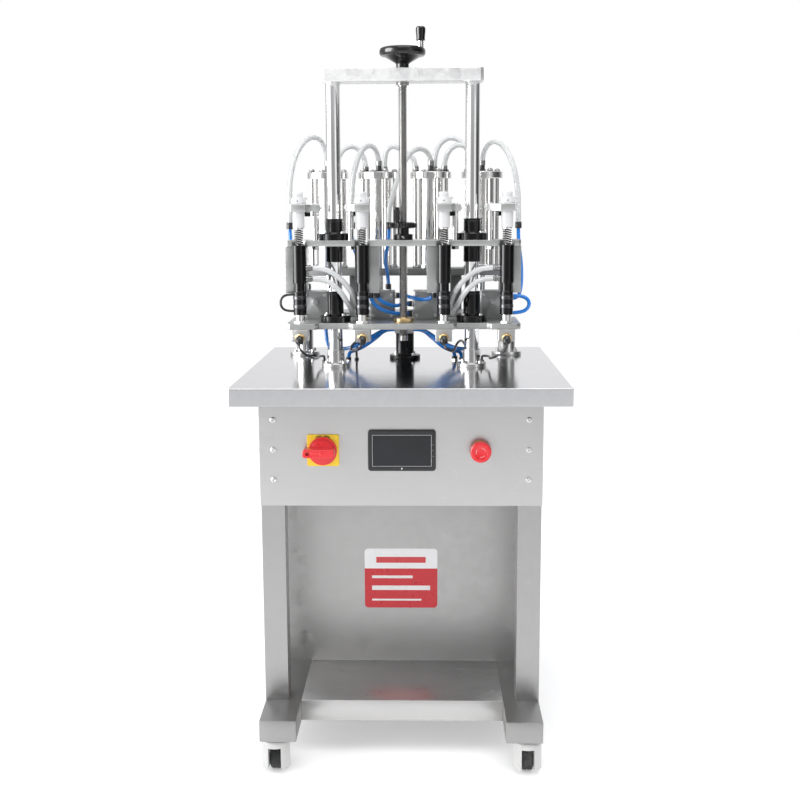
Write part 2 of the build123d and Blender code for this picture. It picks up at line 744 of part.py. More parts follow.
lead_nut = rod(12, 0, POST_Y, LOWER_Z, LOWER_TOP) + rod(22, 0, POST_Y, LOWER_TOP, LOWER_TOP + 12)
lead_nut -= rod(SCREW_RADIUS + RUNNING, 0, POST_Y, LOWER_Z - 1, LOWER_TOP + 13)
save("lead_nut", lead_nut)

COUPLER_TOP = 900
SPIGOT_RADIUS = 11
SPIGOT_TOP = 935
TIP_BOTTOM = 790


def nozzle_coupler(x):
    """Lower half of a nozzle: hexagon fitting, ringed coupler, spigot and outlet tip."""
    body = hexagon(23, x, NOZZLE_Y, LOWER_TOP, 852)
    body += rod(13.5, x, NOZZLE_Y, 852, COUPLER_TOP)
    for z in (866, 884):
        body += rod(14.2, x, NOZZLE_Y, z, z + 7)
    body += rod(SPIGOT_RADIUS, x, NOZZLE_Y, COUPLER_TOP, SPIGOT_TOP)
    body += rod(8, x, NOZZLE_Y, LOWER_Z, LOWER_TOP)
    body += rod(6, x, NOZZLE_Y, TIP_BOTTOM, LOWER_Z)
    return body - rod(4, x, NOZZLE_Y, TIP_BOTTOM - 1, SPIGOT_TOP + 1)


save("nozzle_couplers", *[nozzle_coupler(x) for x in NOZZLE_XS])

SENSOR_TILT = 30
SENSOR_Z = 808


def sensor_bracket(x):
    """Aluminium block under the plate, bored for a nozzle tip and a tilted sensor."""
    bracket = block(x - 17, x + 17, NOZZLE_Y - 13, NOZZLE_Y + 19, 797, LOWER_Z)
    bracket -= rod(6 + FIT, x, NOZZLE_Y, 790, LOWER_Z + 1)
    place = Pos(x, NOZZLE_Y - 8, SENSOR_Z) * Rot(90 + SENSOR_TILT, 0, 0)
    hole = place * Cylinder(8.2, 40, align=BOTTOM)
    barrel = place * Cylinder(8.2, 14, align=BOTTOM) + place * Cylinder(6, 24, align=BOTTOM)
    relief = rod(6 + FIT, x, NOZZLE_Y, 780, LOWER_Z + 1)
    return [bracket - hole, barrel - relief]


save("bottle_sensors", *[piece for x in NOZZLE_XS for piece in sensor_bracket(x)])

VALVE_XS = (-190, -47, 47, 190)
VALVE_SIZE = 54
VALVE_TOP = 894


def valve_block(x):
    """Product valve block on the back of the carriage plate, with a port boss on top."""
    half = VALVE_SIZE / 2
    body = block(x - half, x + half, 42, 92, LOWER_TOP, VALVE_TOP)
    body = chamfer(body.edges().filter_by(Axis.Z), 3)
    return body + rod_y(7, x, 872, 34, 43)


save("valve_blocks", *[valve_block(x) for x in VALVE_XS])

# ---- upper plate and the nozzle heads --------------------------------------------------------
UPPER_FRONT = -50
UPPER_BACK = 45
ROD_XS = (-180.5, -107.5, 107.5, 180.5)
ROD_Y = -35
CLAMP_ROD_RADIUS = 6.3
CLAMP_Z = 1062
CLAMP_HEIGHT = 16


def upper_plate():
    """Head plate, notched at the front for the sleeves."""
    plate = block(-PLATE_HALF, PLATE_HALF, UPPER_FRONT, UPPER_BACK, UPPER_Z, UPPER_TOP)
    plate = chamfer(plate.edges().filter_by(Axis.Z), 4)
    for x in NOZZLE_XS:
        plate -= rod(SLEEVE_RADIUS + 1, x, NOZZLE_Y, UPPER_Z - 1, UPPER_TOP + 1)
    for side in (-1, 1):
        plate -= rod(BUSH_RADIUS, side * POST_X, POST_Y, UPPER_Z - 1, UPPER_TOP + 1)
    plate -= rod(SCREW_RADIUS + 1, 0, POST_Y, UPPER_Z - 1, UPPER_TOP + 1)
    for x in ROD_XS:
        plate -= rod(CLAMP_ROD_RADIUS, x, ROD_Y, UPPER_Z - 1, UPPER_TOP + 1)
    return plate


save("upper_plate", upper_plate())
save("upper_bushes", *[flanged_bush(s * POST_X, UPPER_TOP, 959, 1048) for s in (-1, 1)])

BLOCK_SPANS = ((-243, -200), (-92, -49), (49, 92), (200, 243))
BLOCK_BOTTOM = 896
BLOCK_BACK = 10
SLEEVE_BOTTOM = 917
SLEEVE_TOP = 995
CAVITY_TOP = 957


def guide_blocks():
    """Square blocks hung under the plate, each saddled round the back of a sleeve."""
    pieces = []
    for (x0, x1), x in zip(BLOCK_SPANS, NOZZLE_XS):
        body = block(x0, x1, NOZZLE_Y + 8, BLOCK_BACK, BLOCK_BOTTOM, UPPER_Z)
        pieces.append(body - rod(SLEEVE_RADIUS + FIT, x, NOZZLE_Y, BLOCK_BOTTOM - 1, UPPER_Z + 1))
    return pieces


save("guide_blocks", *guide_blocks())


def nozzle_sleeve(x):
    """Black valve sleeve; the outer two carry two hose barbs on the side facing the middle."""
    sleeve = rod(SLEEVE_RADIUS, x, NOZZLE_Y, SLEEVE_BOTTOM, SLEEVE_TOP)
    sleeve -= rod(SPIGOT_RADIUS + RUNNING, x, NOZZLE_Y, SLEEVE_BOTTOM - 1, CAVITY_TOP)
    sleeve -= rod(STEM_ROD_RADIUS + RUNNING, x, NOZZLE_Y, CAVITY_TOP - 1, SLEEVE_TOP + 1)
    return sleeve


BARB_ZS = (926, 948)


def hose_barb(x, inward, z):
    """Side barb screwed against the sleeve."""
    start = x + inward * (SLEEVE_RADIUS - 0.5)
    turned = Rot(0, 90 * inward, 0)
    barb = Pos(start, NOZZLE_Y, z) * turned * Cylinder(4.5, 14, align=BOTTOM)
    barb -= rod(SLEEVE_RADIUS, x, NOZZLE_Y, z - 10, z + 10)
    return barb


def nozzle_sleeves():
    """Four sleeves, and the barbs on the outer two."""
    pieces = [nozzle_sleeve(x) for x in NOZZLE_XS]
    for x in (NOZZLE_XS[0], NOZZLE_XS[-1]):
        inward = -1 if x > 0 else 1
        pieces += [hose_barb(x, inward, z) for z in BARB_ZS]
    return pieces


save("nozzle_sleeves", *nozzle_sleeves())

HEAD_RADIUS = 12.3
HEAD_BOTTOM = 1030


def clamp_rods():
    """Four rods standing on the plate, each with a nut below it and a clamp bar on top."""
    pieces = []
    for rod_x, x in zip(ROD_XS, NOZZLE_XS):
        upright = rod(CLAMP_ROD_RADIUS, rod_x, ROD_Y, UPPER_Z, CLAMP_Z + CLAMP_HEIGHT)
        pieces.append(upright + hexagon(15, rod_x, ROD_Y, UPPER_Z - 7, UPPER_Z))
        low = min(rod_x - 11, x - 18)
        high = max(rod_x + 11, x + 18)
        bar = block(low, high, NOZZLE_Y - 17, ROD_Y + 11, CLAMP_Z, CLAMP_Z + CLAMP_HEIGHT)
        bar = fillet(bar.edges().filter_by(Axis.Z), 3)
        bar -= rod(CLAMP_ROD_RADIUS, rod_x, ROD_Y, CLAMP_Z - 1, CLAMP_Z + CLAMP_HEIGHT + 1)
        bar -= rod(HEAD_RADIUS, x, NOZZLE_Y, CLAMP_Z - 1, CLAMP_Z + CLAMP_HEIGHT + 1)
        pieces.append(bar)
    return pieces


save("clamp_rods", *clamp_rods())

HEAD_TOP = 1102
CAP_RADIUS = 10.5


def nozzle_head(x):
    """White head: tube through the clamp, wider body, cap, and a bore for the stem."""
    head = rod(HEAD_RADIUS, x, NOZZLE_Y, HEAD_BOTTOM, CLAMP_Z + CLAMP_HEIGHT)
    head += rod(16, x, NOZZLE_Y, CLAMP_Z + CLAMP_HEIGHT, HEAD_TOP - 11)
    head += rod(CAP_RADIUS, x, NOZZLE_Y, HEAD_TOP - 11, HEAD_TOP)
    return head - rod(STEM_ROD_RADIUS + RUNNING, x, NOZZLE_Y, HEAD_BOTTOM - 1, HEAD_BOTTOM + 36)


save("nozzle_heads", *[nozzle_head(x) for x in NOZZLE_XS])

SEAT_HEIGHT = 3
SEAT_RADIUS = 10
STEM_BOTTOM = 962
for number, nx in enumerate(NOZZLE_XS, 1):
    stem = rod(STEM_ROD_RADIUS, nx, NOZZLE_Y, STEM_BOTTOM, HEAD_BOTTOM + 30)
    stem += rod(SEAT_RADIUS, nx, NOZZLE_Y, HEAD_BOTTOM - 0.1 - SEAT_HEIGHT, HEAD_BOTTOM - 0.1)
    save(f"nozzle_stem_{number}", stem)

SPRING_TOP = HEAD_BOTTOM - 0.1 - SEAT_HEIGHT
save(
    "nozzle_springs",
    *[tube(9.5, STEM_ROD_RADIUS + 0.6, nx, NOZZLE_Y, SLEEVE_TOP, SPRING_TOP) for nx in NOZZLE_XS],
)

GRIP_DX = -13
GRIP_DY = -18


def adjust_wheel():
    """Small ribbed handwheel on the lead screw that sets the upper plate, with its grip."""
    base = UPPER_TOP + 0.1
    wheel = rod(20, 0, POST_Y, base, base + 12) + rod(12, 0, POST_Y, base + 11, base + 25)
    wheel += rod(29, 0, POST_Y, base + 24, base + 36)
    wheel += rod(6.5, GRIP_DX, POST_Y + GRIP_DY, base + 35, base + 67)
    return wheel - rod(SCREW_RADIUS + RUNNING, 0, POST_Y, base - 1, base + 68)


save("adjust_wheel", adjust_wheel())

# ---- metering cylinders and their drive ------------------------------------------------------
STAND_TOP = STAND_Z + 14
BEAM_THICK = 16
STAND_FRONT = LOWER_BACK + 3
CROSSHEAD_Z = 826
CROSSHEAD_TOP = CROSSHEAD_Z + 16
SUPPORT_X = 115


def rear_stand():
    """Base plate on the columns, two upright plates, and the beam under the cylinders."""
    base = block(-252, 252, STAND_FRONT, 225, STAND_Z, STAND_TOP)
    base = fillet(base.edges().filter_by(Axis.Z), 6)
    base -= rod(DRIVE_ROD_RADIUS + 2, 0, DRIVE_Y, STAND_Z - 1, STAND_TOP + 1)
    uprights = [
        block(s * SUPPORT_X - 13, s * SUPPORT_X + 13, 216, 225, STAND_TOP, CYLINDER_BEAM_Z)
        for s in (-1, 1)
    ]
    beam = block(-218, 218, 156, 225, CYLINDER_BEAM_Z, CYLINDER_BEAM_Z + BEAM_THICK)
    for x in CYLINDER_XS:
        beam -= rod(DRIVE_ROD_RADIUS + RUNNING, x, CYLINDER_Y, 900, 950)
    return [base, *uprights, beam]


save("rear_stand", *rear_stand())

TUBE_BOTTOM = CYLINDER_BEAM_Z + BEAM_THICK
TIE_CIRCLE = BORE_RADIUS + TUBE_WALL + 10.5
CAP_DISC_RADIUS = TIE_CIRCLE + 8
CAP_THICK = 15


def metering_cylinder(x):
    """Tube with a disc cap, four tie rods with nuts, and an outlet nipple."""
    barrel = tube(BORE_RADIUS + TUBE_WALL, BORE_RADIUS, x, CYLINDER_Y, TUBE_BOTTOM, CYLINDER_TOP)
    foot = tube(TIE_CIRCLE - 7, BORE_RADIUS + TUBE_WALL, x, CYLINDER_Y, TUBE_BOTTOM, TUBE_BOTTOM + 8)
    cap = rod(CAP_DISC_RADIUS, x, CYLINDER_Y, CYLINDER_TOP, CYLINDER_TOP + CAP_THICK)
    cap -= rod(4, x, CYLINDER_Y, CYLINDER_TOP - 1, CYLINDER_TOP + CAP_THICK + 1)
    pieces = [barrel + foot]
    for px, py in ring_points(x, CYLINDER_Y, TIE_CIRCLE, 4, 25):
        cap -= rod(4, px, py, CYLINDER_TOP - 1, CYLINDER_TOP + CAP_THICK + 1)
        tie = rod(4, px, py, TUBE_BOTTOM, CYLINDER_TOP + CAP_THICK)
        tie += hexagon(11, px, py, TUBE_BOTTOM, TUBE_BOTTOM + 7)
        tie += hexagon(11, px, py, CYLINDER_TOP + CAP_THICK, CYLINDER_TOP + CAP_THICK + 5)
        pieces.append(tie)
    nipple = tube(6, 3, x, CYLINDER_Y, CYLINDER_TOP + CAP_THICK, CYLINDER_TOP + CAP_THICK + 14)
    return [*pieces, cap, nipple]


save("metering_cylinders", *[piece for x in CYLINDER_XS for piece in metering_cylinder(x)])

PISTON_Z = 955
PISTON_THICK = 22


def metering_piston(x):
    """Piston and rod, standing on the crosshead."""
    piston = rod(BORE_RADIUS - RUNNING, x, CYLINDER_Y, PISTON_Z, PISTON_Z + PISTON_THICK)
    return piston + rod(DRIVE_ROD_RADIUS, x, CYLINDER_Y, CROSSHEAD_TOP, PISTON_Z)


save("metering_pistons", *[metering_piston(x) for x in CYLINDER_XS])


def piston_crosshead():
    """Cross plate that carries the piston rods, and the drive rod with its own piston."""
    plate = block(-200, 200, DRIVE_Y - 16, 210, CROSSHEAD_Z, CROSSHEAD_TOP)
    plate = fillet(plate.edges().filter_by(Axis.Z), 6)
    drive = rod(DRIVE_ROD_RADIUS, 0, DRIVE_Y, DRIVE_PISTON_Z, CROSSHEAD_Z + 1)
    drive += rod(DRIVE_BORE - RUNNING, 0, DRIVE_Y, DRIVE_PISTON_Z, DRIVE_PISTON_Z + 14)
    return plate + drive


save("piston_crosshead", piston_crosshead())

# ---- hoses, air tubes and sensor cables ------------------------------------------------------
# Each route is a list of points chosen along the run of that hose.
HOSE_RADIUS = 5.5
AIR_RADIUS = 4
CABLE_RADIUS = 2.5
NIPPLE_TOP = CYLINDER_TOP + CAP_THICK + 14


def corner_radii(points):
    """Largest tangent arc that the two runs at each corner leave room for."""
    vectors = [Vector(*p) for p in points]
    radii = []
    for before, here, after in zip(vectors, vectors[1:], vectors[2:]):
        turn = math.radians((here - before).get_angle(after - here))
        run = min((here - before).length, (after - here).length)
        radii.append(0.45 * run / math.tan(turn / 2))
    return radii


def hose(name, radius, points):
    """Plain round tube along straight runs joined by tangent arcs."""
    radii = corner_radii(points)
    path = FilletPolyline(*points, radius=radii)
    section = Plane(origin=path @ 0, z_dir=path % 0) * Circle(radius)
    solid = sweep(section, path=path)
    ratio = solid.volume / (path.length * math.pi * radius**2)
    tightest = min(radii)
    print(f"{name}: length {path.length:.0f}, tightest radius {tightest:.1f}, volume ratio {ratio:.3f}")
    return solid


# Clear hoses run from each cylinder's nipple forward and down to a connector behind the head plate.
CONNECTOR_RADIUS = 7
CONNECTOR_TOP = 1040
CONNECTOR_BOTTOM = 1026
CONNECTOR_Y = 56
CLEAR_ROUTES = (
    ((-172, 190, NIPPLE_TOP), (-172, 190, 1186), (-184, 160, 1220), (-201, 128, 1224), (-219, 96, 1208),
     (-234, 72, 1174), (-242, 60, 1130), (-244, 56, 1085), (-244, CONNECTOR_Y, CONNECTOR_TOP)),
    ((-58, 190, NIPPLE_TOP), (-58, 190, 1180), (-66, 162, 1202), (-78, 128, 1205), (-91, 98, 1193),
     (-102, 74, 1164), (-109, 60, 1125), (-111, 56, 1082), (-111, CONNECTOR_Y, CONNECTOR_TOP)),
    ((58, 190, NIPPLE_TOP), (58, 190, 1182), (43, 170, 1199), (22, 145, 1197), (4, 118, 1176),
     (-9, 95, 1147), (-20, 74, 1112), (-30, 60, 1075), (-32, CONNECTOR_Y, 1056),
     (-32, CONNECTOR_Y, CONNECTOR_TOP)),
    ((172, 190, NIPPLE_TOP), (172, 190, 1184), (184, 162, 1210), (201, 128, 1212), (218, 96, 1195),
     (233, 72, 1162), (241, 60, 1120), (244, 56, 1080), (244, CONNECTOR_Y, CONNECTOR_TOP)),
)
# Bridging hoses loop over from one cylinder cap to the next.
CAP_TOP = CYLINDER_TOP + CAP_THICK
BRIDGE_ROUTES = (
    ((-88, 204, CAP_TOP), (-88, 204, 1172), (-98, 202, 1194), (-112, 198, 1206), (-128, 192, 1205),
     (-142, 186, 1193), (-150, 180, 1172), (-150, 180, CAP_TOP)),
    ((-46, 214, CAP_TOP), (-46, 214, 1176), (-42, 213, 1198), (-28, 211, 1208), (-10, 208, 1201),
     (8, 203, 1188), (24, 198, 1174), (24, 198, CAP_TOP)),
    ((66, 214, CAP_TOP), (66, 214, 1180), (74, 217, 1207), (94, 220, 1225), (118, 218, 1223),
     (137, 211, 1204), (146, 204, 1180), (146, 204, CAP_TOP)),
    ((88, 182, CAP_TOP), (88, 182, 1172), (98, 176, 1195), (114, 170, 1207), (132, 165, 1205),
     (149, 162, 1192), (160, 160, 1172), (160, 160, CAP_TOP)),
)
# Two hoses leave the barbs of each outer sleeve for the valve block beside the middle.
BARB_END = NOZZLE_XS[0] + SLEEVE_RADIUS - 0.5 + 14
BARB_ROUTES = (
    ((BARB_END, NOZZLE_Y, 948), (-165, NOZZLE_Y, 948), (-141, -56, 937), (-119, -54, 917),
     (-104, -42, 893), (-100, -17, 874), (-100, 11, 863), (-100, 40, 862), (-94, 64, 868),
     (-74, 64, 868)),
    ((BARB_END, NOZZLE_Y, 926), (-167, NOZZLE_Y, 926), (-147, -58, 917), (-128, -56, 899),
     (-116, -44, 877), (-109, -20, 861), (-108, 8, 851), (-108, 33, 846), (-98, 53, 845),
     (-74, 53, 845)),
)
# Air tubes: four from the connectors to the valve blocks, the rest among the blocks and below them.
AIR_ROUTES = (
    ((-244, CONNECTOR_Y, CONNECTOR_BOTTOM), (-244, CONNECTOR_Y, 1000), (-232, 62, 952), (-208, 68, 922),
     (-208, 68, VALVE_TOP)),
    ((-111, CONNECTOR_Y, CONNECTOR_BOTTOM), (-111, CONNECTOR_Y, 1000), (-98, 62, 955), (-66, 68, 925),
     (-66, 68, VALVE_TOP)),
    ((-32, CONNECTOR_Y, CONNECTOR_BOTTOM), (-32, CONNECTOR_Y, 1002), (-42, 57, 960), (-34, 64, 926),
     (-34, 64, VALVE_TOP)),
    ((244, CONNECTOR_Y, CONNECTOR_BOTTOM), (244, CONNECTOR_Y, 1000), (251, 58, 955), (253, 64, 915),
     (250, 72, 885), (240, 80, 874), (217, 80, 874)),
    ((217, 50, 846), (240, 50, 846), (262, 48, 851), (270, 47, 866), (262, 48, 880), (240, 50, 884),
     (217, 50, 884)),
    ((-70, 0, BLOCK_BOTTOM), (-70, 0, 880), (-56, 9, 861), (-31, 21, 850), (-3, 33, 846), (6, 54, 846),
     (20, 54, 846)),
    ((-56, 2, BLOCK_BOTTOM), (-56, 2, 884), (-40, 14, 870), (-19, 27, 863), (-1, 40, 866),
     (8, 56, 866), (20, 56, 866)),
    ((64, 0, BLOCK_BOTTOM), (64, 0, 886), (46, 9, 877), (22, 21, 880), (2, 34, 885), (-6, 54, 884),
     (-20, 54, 884)),
)
# Air tubes that hang from a clip under the carriage plate to the table behind the posts.
CLIP_HALF = 20
HANGING_ROUTES = (
    ((-CLIP_HALF, 39, 812), (-42, 39, 812), (-67, 12, 800), (-92, 2, 786), (-117, 14, 774),
     (-138, 40, 770), (-140, 62, 762), (-140, 62, TABLE_HEIGHT)),
    ((-CLIP_HALF, 48, 812), (-40, 48, 812), (-61, 29, 794), (-84, 24, 778), (-107, 40, 766),
     (-122, 66, 760), (-122, 66, TABLE_HEIGHT)),
    ((CLIP_HALF, 39, 812), (42, 39, 812), (66, 10, 798), (90, -4, 784), (114, 8, 774), (136, 36, 770),
     (140, 60, 762), (140, 60, TABLE_HEIGHT)),
    ((CLIP_HALF, 48, 812), (40, 48, 812), (63, 28, 792), (87, 22, 776), (110, 38, 766), (125, 64, 760),
     (125, 64, TABLE_HEIGHT)),
    ((CLIP_HALF, 57, 812), (40, 57, 812), (62, 48, 792), (82, 46, 774), (100, 62, 764), (110, 84, 760),
     (110, 84, TABLE_HEIGHT)),
    ((-168, 34, LOWER_Z), (-168, 34, 804), (-164, 32, 784), (-160, 46, 770), (-156, 72, 760),
     (-156, 72, TABLE_HEIGHT)),
)
# Sensor cables leave each sensor along its own axis, and one pilot line loops beside the left nozzle.
CABLE_ROUTES = (
    ((-213, -83.8, 796), (-213, -94.2, 790), (-204, -98, 777), (-190, -86, 768), (-181, -64, 762),
     (-180, -38, 759), (-182, -8, 758), (-180, 20, 757), (-174, 46, 754), (-174, 58, 751),
     (-174, 58, TABLE_HEIGHT)),
    ((-84, -83.8, 796), (-84, -94.2, 790), (-95, -97, 782), (-106, -80, 780), (-108, -56, 784),
     (-106, -28, 788), (-101, 24, 788), (-102, 62, 776), (-106, 88, 760), (-106, 96, 752),
     (-106, 96, TABLE_HEIGHT)),
    ((84, -83.8, 796), (84, -94.2, 790), (95, -97, 782), (106, -80, 780), (109, -56, 786),
     (114, -28, 792), (124, 30, 790), (132, 66, 776), (136, 84, 760), (136, 92, 752),
     (136, 92, TABLE_HEIGHT)),
    ((213, -83.8, 796), (213, -94.2, 790), (204, -98, 777), (190, -86, 768), (181, -64, 762),
     (180, -38, 759), (182, -8, 758), (180, 20, 757), (170, 46, 754), (168, 58, 751),
     (168, 58, TABLE_HEIGHT)),
    ((-226.5, -55, 894), (-239, -55, 894), (-250, -55, 889), (-254, -55, 877), (-250, -55, 865),
     (-239, -55, 860), (-226.5, -55, 860)),
)


def run_hoses(name, radius, routes):
    """One plain tube for each route."""
    return [hose(f"{name} {number}", radius, route) for number, route in enumerate(routes, 1)]


def mirrored(routes):
    """The same routes on the other side of the machine."""
    return [tuple((-x, y, z) for x, y, z in route) for route in routes]


connectors = [
    rod(CONNECTOR_RADIUS, route[-1][0], CONNECTOR_Y, CONNECTOR_BOTTOM, CONNECTOR_TOP)
    for route in CLEAR_ROUTES
]
clear_hoses = run_hoses("clear hose", HOSE_RADIUS, CLEAR_ROUTES)
bridge_hoses = run_hoses("bridge hose", HOSE_RADIUS, BRIDGE_ROUTES)
save("product_hoses", *clear_hoses, *bridge_hoses, *connectors)
barb_routes = [*BARB_ROUTES, *mirrored(BARB_ROUTES)]
save("nozzle_hoses", *run_hoses("barb hose", HOSE_RADIUS, barb_routes))
save("air_tubes", *run_hoses("air tube", AIR_RADIUS, AIR_ROUTES + HANGING_ROUTES))
save("sensor_cables", *run_hoses("cable", CABLE_RADIUS, CABLE_ROUTES))
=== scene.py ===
import math

import bmesh
import bpy
from mathutils import Matrix, Vector


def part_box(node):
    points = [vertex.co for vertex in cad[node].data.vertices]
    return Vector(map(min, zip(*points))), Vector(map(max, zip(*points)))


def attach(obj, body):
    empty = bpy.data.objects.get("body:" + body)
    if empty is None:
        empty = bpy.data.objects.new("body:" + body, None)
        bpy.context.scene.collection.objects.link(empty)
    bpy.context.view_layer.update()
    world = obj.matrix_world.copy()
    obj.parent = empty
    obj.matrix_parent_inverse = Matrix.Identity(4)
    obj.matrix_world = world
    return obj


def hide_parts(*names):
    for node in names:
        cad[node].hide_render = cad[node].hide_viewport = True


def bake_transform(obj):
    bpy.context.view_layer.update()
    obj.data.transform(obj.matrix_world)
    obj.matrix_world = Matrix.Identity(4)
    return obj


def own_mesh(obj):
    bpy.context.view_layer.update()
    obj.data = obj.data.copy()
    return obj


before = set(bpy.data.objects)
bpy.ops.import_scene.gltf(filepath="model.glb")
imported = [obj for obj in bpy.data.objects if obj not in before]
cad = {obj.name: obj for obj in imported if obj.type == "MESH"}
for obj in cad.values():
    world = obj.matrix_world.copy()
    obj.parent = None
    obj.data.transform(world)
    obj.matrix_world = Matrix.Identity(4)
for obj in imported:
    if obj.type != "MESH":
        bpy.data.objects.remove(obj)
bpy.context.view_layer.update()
scene = bpy.context.scene
scene.view_settings.view_transform = "Standard"
MM = 0.001

# ---- camera --------------------------------------------------------------------------------------
# A standing viewer looks down a little at the nozzles from two and a half metres in front of the
# machine, and sees all of it, from the casters to the crank.
camera_data = bpy.data.cameras.new("camera")
camera_data.lens = 53.39
camera_data.sensor_width = 36
camera = bpy.data.objects.new("camera", camera_data)
scene.collection.objects.link(camera)
camera.location = (0.0539, -2.5025, 1.0633)
camera.rotation_euler = (math.radians(80.95), math.radians(0.253), math.radians(1.387))
scene.camera = camera

# ---- floor, studio and lights --------------------------------------------------------------------
# A pale floor in a white studio. The room has soft dark stretches beside and behind the machine,
# which draw the light and dark bands down the posts and the polished tubes.
FLOOR_SIZE = 14


def new_material(name):
    """An empty material: its tree, its Principled BSDF and its object coordinates."""
    material = bpy.data.materials.new(name)
    material.use_nodes = True
    tree = material.node_tree
    shader = tree.nodes["Principled BSDF"]
    position = tree.nodes.new("ShaderNodeTexCoord").outputs["Object"]
    return material, tree, shader, position


def add(tree, kind, inputs=None, **settings):
    """One node; an input is given a plain value or linked from another node's socket."""
    made = tree.nodes.new(kind)
    for key, value in settings.items():
        setattr(made, key, value)
    for key, value in (inputs or {}).items():
        if isinstance(value, bpy.types.NodeSocket):
            tree.links.new(value, made.inputs[key])
        else:
            made.inputs[key].default_value = value
    return made


floor_mesh = bpy.data.meshes.new("floor")
half_floor = FLOOR_SIZE / 2
floor_mesh.from_pydata(
    [(-half_floor, -half_floor, 0), (half_floor, -half_floor, 0), (half_floor, half_floor, 0),
     (-half_floor, half_floor, 0)], [], [(0, 1, 2, 3)],
)
floor = bpy.data.objects.new("floor", floor_mesh)
scene.collection.objects.link(floor)
floor_paint, _, floor_shader, _ = new_material("floor paint")
floor_shader.inputs["Base Color"].default_value = (0.95, 0.95, 0.95, 1)
floor_shader.inputs["Emission Color"].default_value = (1, 1, 1, 1)
floor_shader.inputs["Emission Strength"].default_value = 0.28
floor_shader.inputs["Roughness"].default_value = 0.6
floor_mesh.materials.append(floor_paint)

world = bpy.data.worlds.new("studio")
scene.world = world
world.use_nodes = True
sky = world.node_tree
sky.nodes.clear()
direction = add(sky, "ShaderNodeTexCoord").outputs["Generated"]
axes = add(sky, "ShaderNodeSeparateXYZ", {0: direction})
away = add(sky, "ShaderNodeMath", {0: axes.outputs["Y"], 1: -1.0}, operation="MULTIPLY")
heading = add(sky, "ShaderNodeMath", {0: axes.outputs["X"], 1: away.outputs[0]}, operation="ARCTAN2")
turn = add(sky, "ShaderNodeMapRange", {0: heading.outputs[0], 1: -math.pi, 2: math.pi})
walls = add(sky, "ShaderNodeValToRGB", {0: turn.outputs[0]})
# Brightness of the room by heading: behind the machine, left, in front, right, behind again.
ROOM = (
    (0.00, 1.00), (0.08, 0.85), (0.13, 0.35), (0.17, 0.92), (0.33, 0.90), (0.405, 0.85), (0.445, 0.40),
    (0.50, 0.38), (0.55, 0.42), (0.583, 0.78), (0.645, 0.72), (0.675, 0.14), (0.78, 0.05), (0.83, 0.30),
    (0.90, 0.90), (1.00, 1.00),
)
ramp = walls.color_ramp
while len(ramp.elements) < len(ROOM):
    ramp.elements.new(0.5)
for stop, (place, level) in zip(ramp.elements, ROOM):
    stop.position = place
    stop.color = (level, level, level * 1.01, 1)
height = add(sky, "ShaderNodeMapRange", {0: axes.outputs["Z"], 1: 0.25, 2: 0.8})
room = add(sky, "ShaderNodeMix", {0: height.outputs[0], 6: walls.outputs[0], 7: (0.80, 0.81, 0.83, 1)},
           data_type="RGBA")
room_light = add(sky, "ShaderNodeBackground", {0: room.outputs[2], 1: 1.0})
backdrop = add(sky, "ShaderNodeBackground", {0: (1, 1, 1, 1), 1: 1.0})
seen = add(sky, "ShaderNodeLightPath").outputs["Is Camera Ray"]
studio = add(sky, "ShaderNodeMixShader", {0: seen, 1: room_light.outputs[0], 2: backdrop.outputs[0]})
add(sky, "ShaderNodeOutputWorld", {0: studio.outputs[0]})


def softbox(name, place, aim, width, tall, power, gloss_only=False):
    """A rectangular area light at place, facing aim. A gloss_only one draws highlights alone."""
    light = bpy.data.lights.new(name, "AREA")
    light.shape = "RECTANGLE"
    light.size = width
    light.size_y = tall
    light.energy = power
    lamp = bpy.data.objects.new(name, light)
    scene.collection.objects.link(lamp)
    lamp.location = place
    lamp.rotation_euler = (Vector(aim) - Vector(place)).to_track_quat("-Z", "Y").to_euler()
    lamp.visible_diffuse = not gloss_only


MIDDLE = (0, 0, 0.9)
softbox("key_strip", (-2.9, -0.85, 1.5), MIDDLE, 2.0, 2.6, 220, gloss_only=True)
softbox("left_fill", (-2.5, -1.9, 1.5), MIDDLE, 1.2, 2.6, 22)
softbox("right_fill", (2.2, -2.6, 1.5), MIDDLE, 0.35, 2.4, 3)
softbox("overhead", (0.2, -1.0, 3.6), MIDDLE, 2.6, 2.6, 60)

# ---- base channels, frame and cabinet skins ------------------------------------------------------
# Closed channels, square legs and folded sheet, all in satin stainless steel. The sheet comes with
# its brushed grain running across the machine, and the tubes with theirs along their length.


def group(name, inputs, outputs):
    """A shader node group with named sockets: its tree, its input node and its output node."""
    tree = bpy.data.node_groups.new(name, "ShaderNodeTree")
    for label, kind, value in inputs:
        socket = tree.interface.new_socket(label, in_out="INPUT", socket_type="NodeSocket" + kind)
        socket.default_value = value
    for label, kind in outputs:
        tree.interface.new_socket(label, in_out="OUTPUT", socket_type="NodeSocket" + kind)
    return tree, tree.nodes.new("NodeGroupInput").outputs, tree.nodes.new("NodeGroupOutput").inputs


def math_node(tree, operation, a, b=0.0):
    return add(tree, "ShaderNodeMath", {0: a, 1: b}, operation=operation).outputs[0]


